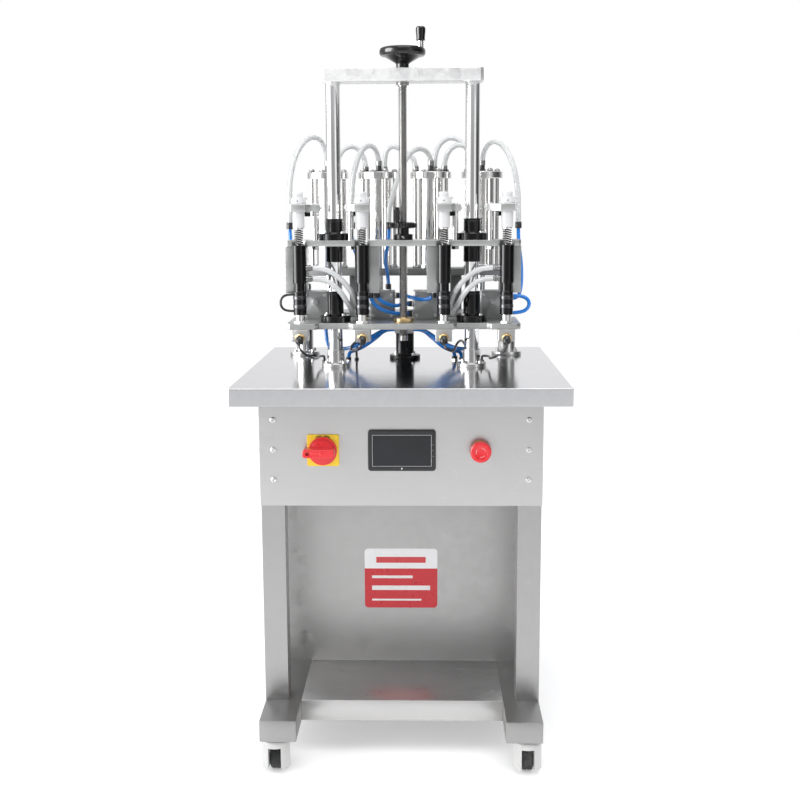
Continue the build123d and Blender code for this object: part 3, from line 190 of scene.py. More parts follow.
# Brushed or turned metal: streaks along one direction, cloudy handling marks, softened edges.
grain, given, result = group(
    "brushed grain",
    [("Position", "Vector", (0, 0, 0)), ("Streaks", "Vector", (8, 900, 900)),
     ("Colour", "Color", (0.6, 0.6, 0.6, 1)), ("Contrast", "Float", 0.2),
     ("Roughness", "Float", 0.3), ("Depth", "Float", 0.02), ("Edge", "Float", 0.0006)],
    [("Colour", "Color"), ("Roughness", "Float"), ("Normal", "Vector")],
)
stretched = add(grain, "ShaderNodeVectorMath", {0: given["Position"], 1: given["Streaks"]},
                operation="MULTIPLY").outputs[0]
streak = add(grain, "ShaderNodeTexNoise", {"Vector": stretched, "Scale": 1.0, "Detail": 4.0,
                                           "Roughness": 0.7}).outputs[0]
cloud = add(grain, "ShaderNodeTexNoise", {"Vector": given["Position"], "Scale": 5.0, "Detail": 3.0,
                                          "Roughness": 0.55}).outputs[0]
smear = add(grain, "ShaderNodeTexNoise", {"Vector": given["Position"], "Scale": 38.0, "Detail": 4.0,
                                          "Roughness": 0.6, "Distortion": 1.2}).outputs[0]
tone = math_node(grain, "ADD", math_node(grain, "MULTIPLY", streak, 0.75),
                 math_node(grain, "MULTIPLY", cloud, 0.25))
swing = math_node(grain, "MULTIPLY", math_node(grain, "SUBTRACT", tone, 0.5), given["Contrast"])
gain = math_node(grain, "ADD", swing, 1.0)
tinted = add(grain, "ShaderNodeVectorMath", {0: given["Colour"], "Scale": gain}, operation="SCALE")
grain.links.new(tinted.outputs[0], result["Colour"])
patch = math_node(grain, "ADD", math_node(grain, "MULTIPLY", streak, 0.7),
                  math_node(grain, "MULTIPLY", smear, 0.9))
matt = math_node(grain, "ADD", math_node(grain, "MULTIPLY", patch, 0.9), 0.28)
rough = math_node(grain, "MULTIPLY", given["Roughness"], matt)
grain.links.new(rough, result["Roughness"])
softened = add(grain, "ShaderNodeBevel", {"Radius": given["Edge"]}, samples=4)
relief = add(grain, "ShaderNodeBump", {"Strength": given["Depth"], "Distance": 0.001, "Height": streak,
                                       "Normal": softened.outputs[0]})
grain.links.new(relief.outputs[0], result["Normal"])

# Bright line along an exposed edge, where handling has rubbed the finish thin.
wear, given, result = group(
    "edge wear",
    [("Position", "Vector", (0, 0, 0)), ("Radius", "Float", 0.0012), ("Amount", "Float", 1.0)],
    [("Mask", "Float")],
)
rounded = add(wear, "ShaderNodeBevel", {"Radius": given["Radius"]}, samples=4).outputs[0]
flat = add(wear, "ShaderNodeNewGeometry").outputs["Normal"]
agree = add(wear, "ShaderNodeVectorMath", {0: rounded, 1: flat}, operation="DOT_PRODUCT").outputs["Value"]
bend = math_node(wear, "MULTIPLY", math_node(wear, "SUBTRACT", 1.0, agree), 5.0)
broken = add(wear, "ShaderNodeTexNoise", {"Vector": given["Position"], "Scale": 260.0,
                                          "Detail": 3.0}).outputs[0]
chipped = add(wear, "ShaderNodeMapRange", {0: broken, 1: 0.38, 2: 0.62}).outputs[0]
rubbed = math_node(wear, "MULTIPLY", math_node(wear, "MULTIPLY", bend, chipped), given["Amount"])
worn = add(wear, "ShaderNodeClamp", {0: rubbed}).outputs[0]
wear.links.new(worn, result["Mask"])


def use(tree, kind, inputs):
    """A node group placed in a material with its own values."""
    placed = add(tree, "ShaderNodeGroup", node_tree=kind)
    for key, value in inputs.items():
        if isinstance(value, bpy.types.NodeSocket):
            tree.links.new(value, placed.inputs[key])
        else:
            placed.inputs[key].default_value = value
    return placed.outputs


BROKEN_EDGE = 0.6 * MM


def metal(name, colour, streaks, contrast=0.2, roughness=0.3, depth=0.05, worn_to=None):
    """Bare or anodised metal with its grain; worn_to is the colour that shows along worn edges."""
    material, tree, shader, position = new_material(name)
    surface = use(tree, grain, {
        "Position": position, "Streaks": streaks, "Colour": (*colour, 1), "Contrast": contrast,
        "Roughness": roughness, "Depth": depth, "Edge": BROKEN_EDGE,
    })
    shader.inputs["Metallic"].default_value = 1.0
    skin = surface["Colour"]
    if worn_to:
        mask = use(tree, wear, {"Position": position, "Amount": 0.8})["Mask"]
        skin = add(tree, "ShaderNodeMix", {0: mask, 6: skin, 7: (*worn_to, 1)}, data_type="RGBA").outputs[2]
    tree.links.new(skin, shader.inputs["Base Color"])
    tree.links.new(surface["Roughness"], shader.inputs["Roughness"])
    tree.links.new(surface["Normal"], shader.inputs["Normal"])
    return material


def finish(nodes, material):
    """Gives carried-over CAD nodes a material."""
    for name in nodes:
        cad[name].data.materials.clear()
        cad[name].data.materials.append(material)


ACROSS = (6, 1400, 1400)
UPRIGHT = (1400, 1400, 6)
DEEPWAYS = (1400, 6, 1400)
sheet_steel = metal("brushed sheet", (0.535, 0.53, 0.525), ACROSS, 0.22, 0.34, 0.08)
# The recess panel is the same sheet steel painted darker: painted shade for the recess it sits back in.
shaded_recess_steel = metal("brushed recess sheet with painted shade", (0.385, 0.382, 0.378), ACROSS, 0.22, 0.36, 0.08)
leg_steel = metal("brushed tube", (0.38, 0.377, 0.374), UPRIGHT, 0.16, 0.34, 0.06)
channel_steel = metal("brushed channel", (0.35, 0.348, 0.345), DEEPWAYS, 0.16, 0.36, 0.06)

WELD = 0.002 * MM
SHARP_CORNER = 0.9
SMOOTH_BEND = 0.6


def refined(node, body, material, edge):
    """Stands for a CAD node: its triangles joined into faces and its sharp edges broken."""
    mesh = cad[node].data.copy()
    if "custom_normal" in mesh.attributes:
        mesh.attributes.remove(mesh.attributes["custom_normal"])
    bm = bmesh.new()
    bm.from_mesh(mesh)
    bmesh.ops.remove_doubles(bm, verts=bm.verts, dist=WELD)
    bmesh.ops.dissolve_limit(bm, angle_limit=math.radians(0.6), verts=bm.verts, edges=bm.edges)
    if edge:
        corners = [e for e in bm.edges if len(e.link_faces) == 2 and e.calc_face_angle() > SHARP_CORNER]
        bmesh.ops.bevel(bm, geom=corners, offset=edge, segments=2, profile=0.5, affect="EDGES")
    for face in bm.faces:
        face.smooth = True
    for line in bm.edges:
        line.smooth = len(line.link_faces) == 2 and line.calc_face_angle() < SMOOTH_BEND
    bm.to_mesh(mesh)
    bm.free()
    mesh.materials.clear()
    mesh.materials.append(material)
    piece = bpy.data.objects.new(node + "_shell", mesh)
    scene.collection.objects.link(piece)
    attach(piece, body)
    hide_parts(node)
    return piece


finish(["front_panel", "rear_panel", "cabinet_skins"], sheet_steel)
finish(["recess_panel"], shaded_recess_steel)
refined("shelf_tray", "root", sheet_steel, 0.8 * MM)
finish(["cabinet_frame"], leg_steel)
refined("base_channels", "root", channel_steel, 1.6 * MM)

# ---- tabletop ------------------------------------------------------------------------------------
# A pan of polished stainless sheet, folded down all round. It is bright enough to mirror the
# columns that stand on it, with the long soft waves and fine wipe marks of thin polished sheet.
table_steel, tree, shader, position = new_material("polished table")
surface = use(tree, grain, {
    "Position": position, "Streaks": (10, 700, 700), "Colour": (0.56, 0.56, 0.57, 1), "Contrast": 0.05,
    "Roughness": 0.14, "Depth": 0.012, "Edge": 1.5 * MM,
})
wave = add(tree, "ShaderNodeTexNoise", {"Vector": position, "Scale": 3.2, "Detail": 1.0}).outputs[0]
waved = add(tree, "ShaderNodeBump", {"Strength": 0.25, "Distance": 0.004, "Height": wave,
                                     "Normal": surface["Normal"]})
shader.inputs["Metallic"].default_value = 1.0
tree.links.new(surface["Colour"], shader.inputs["Base Color"])
tree.links.new(surface["Roughness"], shader.inputs["Roughness"])
tree.links.new(waved.outputs[0], shader.inputs["Normal"])
finish(["tabletop"], table_steel)

# ---- service label -------------------------------------------------------------------------------
# A printed film label with rounded corners, stuck to the recess panel: a pale head over a red field
# with plain rules where the print would be.
label_low, label_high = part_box("service_label")
label_film, tree, shader, position = new_material("printed label film")
place = add(tree, "ShaderNodeSeparateXYZ", {0: position})
across = add(tree, "ShaderNodeMapRange", {0: place.outputs["X"], 1: label_low.x, 2: label_high.x}).outputs[0]
upward = add(tree, "ShaderNodeMapRange", {0: place.outputs["Z"], 1: label_low.z, 2: label_high.z}).outputs[0]


def band(value, low, high):
    """1 where value lies between low and high."""
    over = math_node(tree, "GREATER_THAN", value, low)
    under = math_node(tree, "LESS_THAN", value, high)
    return math_node(tree, "MULTIPLY", over, under)


RULES = ((0.10, 0.66, 0.50, 0.545), (0.10, 0.90, 0.30, 0.375), (0.10, 0.78, 0.12, 0.15))
rules = None
for left, right, bottom, top in RULES:
    rule = math_node(tree, "MULTIPLY", band(across, left, right), band(upward, bottom, top))
    rules = rule if rules is None else math_node(tree, "MAXIMUM", rules, rule)
head = band(upward, 0.665, 1.1)
head_mark = math_node(tree, "MULTIPLY", band(across, 0.16, 0.84), band(upward, 0.76, 0.86))
ink = add(tree, "ShaderNodeMix", {0: rules, 6: (0.62, 0.02, 0.03, 1), 7: (0.88, 0.86, 0.85, 1)},
          data_type="RGBA").outputs[2]
topped = add(tree, "ShaderNodeMix", {0: head, 6: ink, 7: (0.90, 0.90, 0.91, 1)}, data_type="RGBA").outputs[2]
printed = add(tree, "ShaderNodeMix", {0: head_mark, 6: topped, 7: (0.66, 0.05, 0.06, 1)},
              data_type="RGBA").outputs[2]
tree.links.new(printed, shader.inputs["Base Color"])
film_noise = add(tree, "ShaderNodeTexNoise", {"Vector": position, "Scale": 60.0, "Detail": 3.0}).outputs[0]
film_rough = add(tree, "ShaderNodeMapRange", {0: film_noise, 3: 0.22, 4: 0.36}).outputs[0]
film_bump = add(tree, "ShaderNodeBump", {"Strength": 0.05, "Distance": 0.001, "Height": film_noise})
tree.links.new(film_rough, shader.inputs["Roughness"])
tree.links.new(film_bump.outputs[0], shader.inputs["Normal"])
finish(["service_label"], label_film)

# ---- casters -------------------------------------------------------------------------------------
# Swivel casters with a white two-sided hood of painted pressed steel, a bright axle, and a black
# polyurethane tread on a grey nylon hub.
skin_group, given, result = group(
    "moulded skin",
    [("Position", "Vector", (0, 0, 0)), ("Colour", "Color", (0.5, 0.5, 0.5, 1)),
     ("Grain", "Float", 900.0), ("Depth", "Float", 0.1), ("Roughness", "Float", 0.4),
     ("Dust", "Float", 0.1), ("Edge", "Float", 0.0006)],
    [("Colour", "Color"), ("Roughness", "Float"), ("Normal", "Vector")],
)
pebble = add(skin_group, "ShaderNodeTexNoise", {"Vector": given["Position"], "Scale": given["Grain"],
                                                "Detail": 3.0, "Roughness": 0.6}).outputs[0]
stain = add(skin_group, "ShaderNodeTexNoise", {"Vector": given["Position"], "Scale": 22.0, "Detail": 5.0,
                                               "Roughness": 0.65}).outputs[0]
lifted = add(skin_group, "ShaderNodeMapRange", {0: stain, 1: 0.45, 2: 0.8}).outputs[0]
facing = add(skin_group, "ShaderNodeSeparateXYZ",
             {0: add(skin_group, "ShaderNodeNewGeometry").outputs["Normal"]}).outputs["Z"]
resting = add(skin_group, "ShaderNodeMapRange", {0: facing, 1: 0.2, 2: 1.0, 3: 0.35, 4: 1.0}).outputs[0]
dusty = math_node(skin_group, "MULTIPLY", math_node(skin_group, "MULTIPLY", lifted, resting), given["Dust"])
dusted = add(skin_group, "ShaderNodeMix", {0: dusty, 6: given["Colour"], 7: (0.55, 0.53, 0.50, 1)},
             data_type="RGBA").outputs[2]
speck = add(skin_group, "ShaderNodeMapRange", {0: pebble, 3: 0.94, 4: 1.06}).outputs[0]
toned = add(skin_group, "ShaderNodeVectorMath", {0: dusted, "Scale": speck}, operation="SCALE")
skin_group.links.new(toned.outputs[0], result["Colour"])
dulled = add(skin_group, "ShaderNodeMapRange", {0: stain, 3: 0.8, 4: 1.2}).outputs[0]
skin_rough = math_node(skin_group, "MULTIPLY", given["Roughness"], dulled)
skin_rough = math_node(skin_group, "ADD", skin_rough, math_node(skin_group, "MULTIPLY", dusty, 0.4))
skin_group.links.new(skin_rough, result["Roughness"])
eased = add(skin_group, "ShaderNodeBevel", {"Radius": given["Edge"]}, samples=4).outputs[0]
pebbled = add(skin_group, "ShaderNodeBump", {"Strength": given["Depth"], "Distance": 0.0006,
                                             "Height": pebble, "Normal": eased})
skin_group.links.new(pebbled.outputs[0], result["Normal"])


def moulded(name, colour, roughness=0.4, grain_size=900.0, depth=0.1, dust=0.1, coat=0.0):
    """Plastic, rubber or paint."""
    material, tree, shader, position = new_material(name)
    surface = use(tree, skin_group, {
        "Position": position, "Colour": (*colour, 1), "Grain": grain_size, "Depth": depth,
        "Roughness": roughness, "Dust": dust,
    })
    tree.links.new(surface["Colour"], shader.inputs["Base Color"])
    tree.links.new(surface["Roughness"], shader.inputs["Roughness"])
    tree.links.new(surface["Normal"], shader.inputs["Normal"])
    shader.inputs["Coat Weight"].default_value = coat
    shader.inputs["Coat Roughness"].default_value = 0.08
    return material


def lathe(bm, profile, place, finish_index=0, sides=48, closed=False):
    """Turns (radius, height) points about the axis of place, a matrix or a point."""
    if not isinstance(place, Matrix):
        place = Matrix.Translation(Vector(place))
    rings = []
    for radius, height in profile:
        if radius < 1e-7:
            rings.append([bm.verts.new(place @ Vector((0, 0, height)))])
            continue
        steps = [2 * math.pi * (i + 0.5) / sides for i in range(sides)]
        rings.append([
            bm.verts.new(place @ Vector((radius * math.cos(a), radius * math.sin(a), height)))
            for a in steps
        ])
    pairs = list(zip(rings, rings[1:]))
    if closed:
        pairs.append((rings[-1], rings[0]))
    for low, high in pairs:
        for i in range(sides):
            j = (i + 1) % sides
            corners = [low[i % len(low)], low[j % len(low)], high[j % len(high)], high[i % len(high)]]
            unique = list(dict.fromkeys(corners))
            if len(unique) > 2:
                bm.faces.new(unique).material_index = finish_index


def mm(*points, base=0.0):
    """Profile points given in millimetres, with their heights counted from base."""
    return [(radius * MM, base + height * MM) for radius, height in points]


def rod_profile(radius, low, high, edge=0.0):
    """Profile of a plain turned bar with a small chamfer at both ends."""
    return [(0, low), (radius - edge, low), (radius, low + edge), (radius, high - edge),
            (radius - edge, high), (0, high)]


def ring_profile(outer, inner, low, high, edge=0.0):
    """Profile of a collar or tube; it is a closed loop."""
    return [(inner, low), (outer - edge, low), (outer, low + edge), (outer, high - edge),
            (outer - edge, high), (inner, high)]


TURNED_BEND = 0.55


def settle(bm, name, body, materials, nodes=()):
    """Makes the finished piece: outward faces, sharp edges kept sharp, on its CAD body."""
    bmesh.ops.recalc_face_normals(bm, faces=bm.faces)
    for face in bm.faces:
        face.smooth = True
    for line in bm.edges:
        line.smooth = len(line.link_faces) == 2 and line.calc_face_angle(0) < TURNED_BEND
    mesh = bpy.data.meshes.new(name)
    bm.to_mesh(mesh)
    bm.free()
    for material in materials:
        mesh.materials.append(material)
    piece = bpy.data.objects.new(name, mesh)
    scene.collection.objects.link(piece)
    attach(piece, body)
    if nodes:
        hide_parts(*nodes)
    return piece


def facing_axis(place, axis):
    """Matrix that puts local Z along axis at place."""
    return Matrix.Translation(Vector(place)) @ Vector(axis).to_track_quat("Z", "Y").to_matrix().to_4x4()


hood_paint = moulded("white hood paint", (0.62, 0.62, 0.61), 0.3, 300, 0.05, 0.25, 0.3)
tread_rubber = moulded("black tread", (0.018, 0.018, 0.019), 0.55, 700, 0.25, 0.5)
hub_nylon = moulded("grey hub nylon", (0.30, 0.30, 0.31), 0.5, 600, 0.1, 0.3)
axle_steel = metal("bright axle", (0.62, 0.61, 0.6), UPRIGHT, 0.2, 0.25, 0.03)
WHEEL_HALF = 11 * MM
WHEEL_R = 25 * MM
TREAD = [
    (17.5 * MM, 9.4 * MM), (19 * MM, WHEEL_HALF), (21.5 * MM, WHEEL_HALF), (23.8 * MM, 9.6 * MM),
    (WHEEL_R, 6.6 * MM), (WHEEL_R, 2.4 * MM), (24.5 * MM, 2 * MM), (24.5 * MM, 0),
]
HUB = mm((4.2, 8.6), (8, 8.6), (9, 7.6), (10, 5.5), (15, 5.5), (17, 9), (17.5, 9.4))
for number in range(1, 5):
    refined(f"caster_fork_{number}", f"caster_swivel_{number}", hood_paint, 0.5 * MM)
    low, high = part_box(f"caster_wheel_{number}")
    centre = (low + high) / 2
    wheel = bmesh.new()
    turned = facing_axis(centre, (1, 0, 0))
    half_tread = TREAD + [(r, -z) for r, z in reversed(TREAD[:-1])]
    lathe(wheel, half_tread, turned, 0, 64)
    hub_loop = HUB + [(r, -z) for r, z in reversed(HUB)]
    lathe(wheel, hub_loop, turned, 1, 64, closed=True)
    bmesh.ops.remove_doubles(wheel, verts=wheel.verts, dist=1e-6)
    settle(wheel, f"wheel_tread_{number}", f"wheel_{number}", [tread_rubber, hub_nylon],
           [f"caster_wheel_{number}"])
    caps = bmesh.new()
    for side in (-1, 1):
        cap_place = facing_axis(centre + Vector((side * 23 * MM, 0, 0)), (side, 0, 0))
        lathe(caps, mm((0, 1.5), (3, 1.4), (5, 0.4), (5.6, -0.6), (0, -0.6)),
              cap_place, 0, 32)
    settle(caps, f"axle_caps_{number}", f"caster_swivel_{number}", [axle_steel])

# ---- main switch ---------------------------------------------------------------------------------
# Yellow moulded plate with a red rotary knob. The knob's bar handle has a hole for a padlock, and
# two dark arcs on the plate mark the turn.
knob_red = moulded("switch red", (0.74, 0.016, 0.024), 0.28, 500, 0.04, 0.06, 0.25)
plate_yellow = moulded("switch yellow", (0.90, 0.62, 0.02), 0.35, 500, 0.05, 0.05, 0.1)
mark_black = moulded("printed black", (0.02, 0.02, 0.022), 0.5, 500, 0.03, 0.03)
refined("main_switch_plate", "root", plate_yellow, 0.6 * MM)
refined("main_switch_knob", "main_switch", knob_red, 0.7 * MM)
plate_low, plate_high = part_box("main_switch_plate")
switch_centre = Vector(((plate_low.x + plate_high.x) / 2, plate_low.y, (plate_low.z + plate_high.z) / 2))


def arc_strip(bm, centre, inner, outer, start, end, thick, steps=16):
    """A thin raised arc on a face that looks along -Y; angles are in degrees from +X."""
    rings = []
    for i in range(steps + 1):
        a = math.radians(start + (end - start) * i / steps)
        spoke = Vector((math.cos(a), 0, math.sin(a)))
        front = [centre + spoke * r + Vector((0, -thick, 0)) for r in (inner, outer)]
        back = [centre + spoke * r + Vector((0, 0.05 * MM, 0)) for r in (outer, inner)]
        rings.append([bm.verts.new(p) for p in front + back])
    for a, b in zip(rings, rings[1:]):
        for i in range(4):
            bm.faces.new([a[i], a[(i + 1) % 4], b[(i + 1) % 4], b[i]])
    for end_ring in (rings[0], rings[-1]):
        bm.faces.new(end_ring)


marks = bmesh.new()
MARK_INNER = 27.6 * MM
MARK_OUTER = 29.4 * MM
for start, end in ((62, 84), (96, 118)):
    arc_strip(marks, switch_centre, MARK_INNER, MARK_OUTER, start, end, 0.25 * MM)
settle(marks, "switch_marks", "root", [mark_black])
lock_ring = bmesh.new()
knob_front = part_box("main_switch_knob")[0].y
LOCK_HOLE_OUT = 27 * MM
hole_axis = facing_axis((switch_centre.x - LOCK_HOLE_OUT, knob_front + 0.3 * MM, switch_centre.z), (0, -1, 0))
lathe(lock_ring, ring_profile(5.2 * MM, 3.6 * MM, 0, 0.7 * MM, 0.2 * MM), hole_axis, 0, 32, True)
lathe(lock_ring, mm((0, 1.0), (3.2, 0.8), (4.6, 0), (0, -0.5)),
      facing_axis((switch_centre.x, knob_front + 0.2 * MM, switch_centre.z), (0, -1, 0)), 0, 32)
settle(lock_ring, "lock_hole_rim", "main_switch", [knob_red])

# ---- touch panel ---------------------------------------------------------------------------------
# Black moulded bezel round dark glass. A thin pale line frames the glass, three small marks stand
# beside it, and a power lamp sits below it.
bezel_black = moulded("bezel black", (0.012, 0.012, 0.013), 0.3, 700, 0.06, 0.05, 0.15)
frame_grey = moulded("printed pale line", (0.55, 0.56, 0.57), 0.4, 700, 0.03, 0.03)
lamp_white = moulded("lamp lens", (0.85, 0.86, 0.85), 0.2, 700, 0.02, 0.0, 0.5)
screen_glass, tree, shader, position = new_material("dark screen glass")
sheen = add(tree, "ShaderNodeTexNoise", {"Vector": position, "Scale": 14.0, "Detail": 4.0}).outputs[0]
screen_tone = add(tree, "ShaderNodeValToRGB", {0: sheen})
screen_tone.color_ramp.elements[0].color = (0.010, 0.012, 0.014, 1)
screen_tone.color_ramp.elements[1].color = (0.020, 0.023, 0.026, 1)
wiped = add(tree, "ShaderNodeMapRange", {0: sheen, 3: 0.05, 4: 0.16}).outputs[0]
tree.links.new(screen_tone.outputs[0], shader.inputs["Base Color"])
tree.links.new(wiped, shader.inputs["Roughness"])
shader.inputs["Specular IOR Level"].default_value = 0.35
refined("hmi_bezel", "root", bezel_black, 0.5 * MM)
finish(["hmi_screen"], screen_glass)
bezel_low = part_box("hmi_bezel")[0]
glass_low, glass_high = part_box("hmi_screen")


def slab(bm, low, high, edge=0.0):
    """A block between two corners with its edges broken."""
    size = Vector(high) - Vector(low)
    centre = (Vector(high) + Vector(low)) / 2
    made = bmesh.ops.create_cube(bm, size=1, matrix=Matrix.Translation(centre) @ Matrix.Diagonal((*size, 1)))
    if edge:
        lines = list({e for v in made["verts"] for e in v.link_edges})
        bmesh.ops.bevel(bm, geom=lines, offset=edge, segments=3, profile=0.5, affect="EDGES")


LINE = 0.7 * MM
line_front = bezel_low.y - 0.12 * MM
line_back = bezel_low.y + 0.2 * MM
lines = bmesh.new()
out_x = 0.6 * MM
left, right = glass_low.x - out_x, glass_high.x + out_x
bottom, top = glass_low.z - out_x, glass_high.z + out_x
for x0, x1, z0, z1 in (
    (left - LINE, right + LINE, top, top + LINE), (left - LINE, right + LINE, bottom - LINE, bottom),
    (left - LINE, left, bottom, top), (right, right + LINE, bottom, top),
):
    slab(lines, (x0, line_front, z0), (x1, line_back, z1))
for step in (-1, 0, 1):
    tick_z = (bottom + top) / 2 + step * 11 * MM
    slab(lines, (right + 2.4 * MM, line_front, tick_z), (right + 4.2 * MM, line_back, tick_z + LINE))
settle(lines, "panel_frame_line", "root", [frame_grey])
lamp = bmesh.new()
lathe(lamp, mm((0, 0.9), (1.0, 0.7), (1.5, 0), (0, -0.4)),
      facing_axis(((left + right) / 2, bezel_low.y, (bezel_low.z + bottom) / 2), (0, -1, 0)), 0, 24)
settle(lamp, "power_lamp", "root", [lamp_white])

# ---- emergency stop ------------------------------------------------------------------------------
# Red mushroom button with a dished face and three turned arrows, over a black collar with a yellow
# ring behind it.
refined("estop_button", "emergency_stop", knob_red, 0.5 * MM)
refined("estop_collar", "root", bezel_black, 0.4 * MM)
stop_low, stop_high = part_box("estop_button")
stop_centre = Vector(((stop_low.x + stop_high.x) / 2, stop_low.y + 1.1 * MM, (stop_low.z + stop_high.z) / 2))
arrow_pale = moulded("arrow pale", (0.78, 0.34, 0.33), 0.4, 500, 0.03, 0.02)
arrows = bmesh.new()
for start in (20, 140, 260):
    arc_strip(arrows, stop_centre, 8.4 * MM, 9.6 * MM, start, start + 62, 0.3 * MM, 12)
settle(arrows, "stop_arrows", "emergency_stop", [arrow_pale])
panel_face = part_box("front_panel")[0].y
ring = bmesh.new()
lathe(ring, ring_profile(18.5 * MM, 15.1 * MM, 0, 1.6 * MM, 0.4 * MM),
      facing_axis((stop_centre.x, panel_face, stop_centre.z), (0, -1, 0)), 0, 64, True)
settle(ring, "stop_ring", "root", [plate_yellow])

# ---- inside the rear bay -------------------------------------------------------------------------
# Mounting board, controller, supply and air valves, and the cylinder that works the pistons. They
# show through the vents and from below only.
bay_plastic = moulded("device grey", (0.34, 0.35, 0.36), 0.5, 500, 0.1, 0.2)
finish(["control_electrics"], bay_plastic)
TURNED = (30, 30, 2600)
drawn_aluminium = metal("drawn aluminium", (0.66, 0.66, 0.67), UPRIGHT, 0.15, 0.36, 0.05)
finish(["drive_cylinder"], drawn_aluminium)

# ---- screws on the frame -------------------------------------------------------------------------
# Stainless button heads hold the sheets, and plain socket cap screws hold the round
# feet and the slide bushes. Each is a turned head with a hexagon socket.
screw_steel = metal("screw steel", (0.60, 0.60, 0.59), (700, 700, 700), 0.25, 0.26, 0.03)


def fastener_tree():
    """Geometry Nodes: one head with its socket, set on every point and turned by the point."""
    tree = bpy.data.node_groups.new("fasteners", "GeometryNodeTree")
    tree.interface.new_socket("Geometry", in_out="INPUT", socket_type="NodeSocketGeometry")
    for label, kind in (("Sides", "Int"), ("Radius", "Float"), ("Top Radius", "Float"), ("Height", "Float"),
                        ("Socket Radius", "Float"), ("Socket Sides", "Int"), ("Socket Depth", "Float")):
        tree.interface.new_socket(label, in_out="INPUT", socket_type="NodeSocket" + kind)
    tree.interface.new_socket("Finish", in_out="INPUT", socket_type="NodeSocketMaterial")
    tree.interface.new_socket("Geometry", in_out="OUTPUT", socket_type="NodeSocketGeometry")
    given = tree.nodes.new("NodeGroupInput").outputs
    # the head: a short cylinder under a cone whose top is a little smaller
    crown = math_node(tree, "MULTIPLY", given["Height"], 0.35)
    body_height = math_node(tree, "SUBTRACT", given["Height"], crown)
    barrel = add(tree, "GeometryNodeMeshCone", {
        "Vertices": given["Sides"], "Radius Top": given["Radius"], "Radius Bottom": given["Radius"],
        "Depth": body_height})
    top = add(tree, "GeometryNodeMeshCone", {
        "Vertices": given["Sides"], "Radius Top": given["Top Radius"], "Radius Bottom": given["Radius"],
        "Depth": crown})
    lift = add(tree, "ShaderNodeCombineXYZ", {"Z": body_height}).outputs[0]
    raised = add(tree, "GeometryNodeTransform", {"Geometry": top.outputs["Mesh"], "Translation": lift})
    joined = add(tree, "GeometryNodeMeshBoolean", operation="UNION")
    tree.links.new(barrel.outputs["Mesh"], joined.inputs["Mesh 2"])
    tree.links.new(raised.outputs["Geometry"], joined.inputs["Mesh 2"])
    bit = add(tree, "GeometryNodeMeshCone", {
        "Vertices": given["Socket Sides"], "Radius Top": given["Socket Radius"],
        "Radius Bottom": given["Socket Radius"], "Depth": math_node(tree, "MULTIPLY", given["Height"], 2.0)})
    sunk = math_node(tree, "SUBTRACT", given["Height"], given["Socket Depth"])
    bit_place = add(tree, "ShaderNodeCombineXYZ", {"Z": sunk}).outputs[0]
    bit_set = add(tree, "GeometryNodeTransform", {"Geometry": bit.outputs["Mesh"], "Translation": bit_place})
    head = add(tree, "GeometryNodeMeshBoolean", operation="DIFFERENCE")
    tree.links.new(joined.outputs["Mesh"], head.inputs["Mesh 1"])
    tree.links.new(bit_set.outputs["Geometry"], head.inputs["Mesh 2"])
    points = add(tree, "GeometryNodeMeshToPoints", {"Mesh": given["Geometry"]})
    turn = add(tree, "GeometryNodeInputNamedAttribute", {"Name": "turn"}, data_type="FLOAT_VECTOR")
    copies = add(tree, "GeometryNodeInstanceOnPoints", {
        "Points": points.outputs["Points"], "Instance": head.outputs["Mesh"],
        "Rotation": turn.outputs["Attribute"]})
    real = add(tree, "GeometryNodeRealizeInstances", {"Geometry": copies.outputs["Instances"]})
    painted = add(tree, "GeometryNodeSetMaterial", {"Geometry": real.outputs[0], "Material": given["Finish"]})
    output = tree.nodes.new("NodeGroupOutput")
    tree.links.new(painted.outputs[0], output.inputs[0])
    return tree


def grown(name, tree, values, spots, body, nodes=()):
    """Runs a Geometry Nodes tree on points, (place, euler angles), and keeps the plain mesh."""
    seed = bpy.data.meshes.new(name)
    seed.from_pydata([tuple(place) for place, _ in spots], [], [])
    turn = seed.attributes.new("turn", "FLOAT_VECTOR", "POINT")
    turn.data.foreach_set("vector", [angle for _, euler in spots for angle in euler])
    piece = bpy.data.objects.new(name, seed)
    scene.collection.objects.link(piece)
    modifier = piece.modifiers.new("grow", "NODES")
    modifier.node_group = tree
    for item in tree.interface.items_tree:
        if item.item_type == "SOCKET" and item.in_out == "INPUT" and item.name in values:
            modifier[item.identifier] = values[item.name]
    bpy.context.view_layer.update()
    shape = piece.evaluated_get(bpy.context.evaluated_depsgraph_get())
    mesh = bpy.data.meshes.new_from_object(shape)
    piece.modifiers.clear()
    piece.data = mesh
    if "turn" in mesh.attributes:
        mesh.attributes.remove(mesh.attributes["turn"])
    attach(piece, body)
    if nodes:
        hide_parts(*nodes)
    return piece


def heads(name, spots, body, radius, height, socket, material=None, taper=0.86, sides=28, bore_sides=6,
          deep=0.55, slot="turned_steel", nodes=()):
    """A set of equal screw heads or nuts."""
    return grown(name, fasteners, {
        "Sides": sides, "Radius": radius, "Top Radius": radius * taper, "Height": height,
        "Socket Radius": socket, "Socket Sides": bore_sides, "Socket Depth": height * deep,
        "Finish": material or screw_steel,
    }, spots, body, nodes)


def ring_spots(x, y, z, radius, count, start):
    """Upright screws on a bolt circle."""
    angles = [math.radians(start + 360 * i / count) for i in range(count)]
    return [((x + radius * math.cos(a), y + radius * math.sin(a), z), (0, 0, a)) for a in angles]


fasteners = fastener_tree()
UP = (0, 0, 0)
TOWARD_FRONT = (math.radians(90), 0, 0)
TOWARD_BACK = (math.radians(-90), 0, 0)
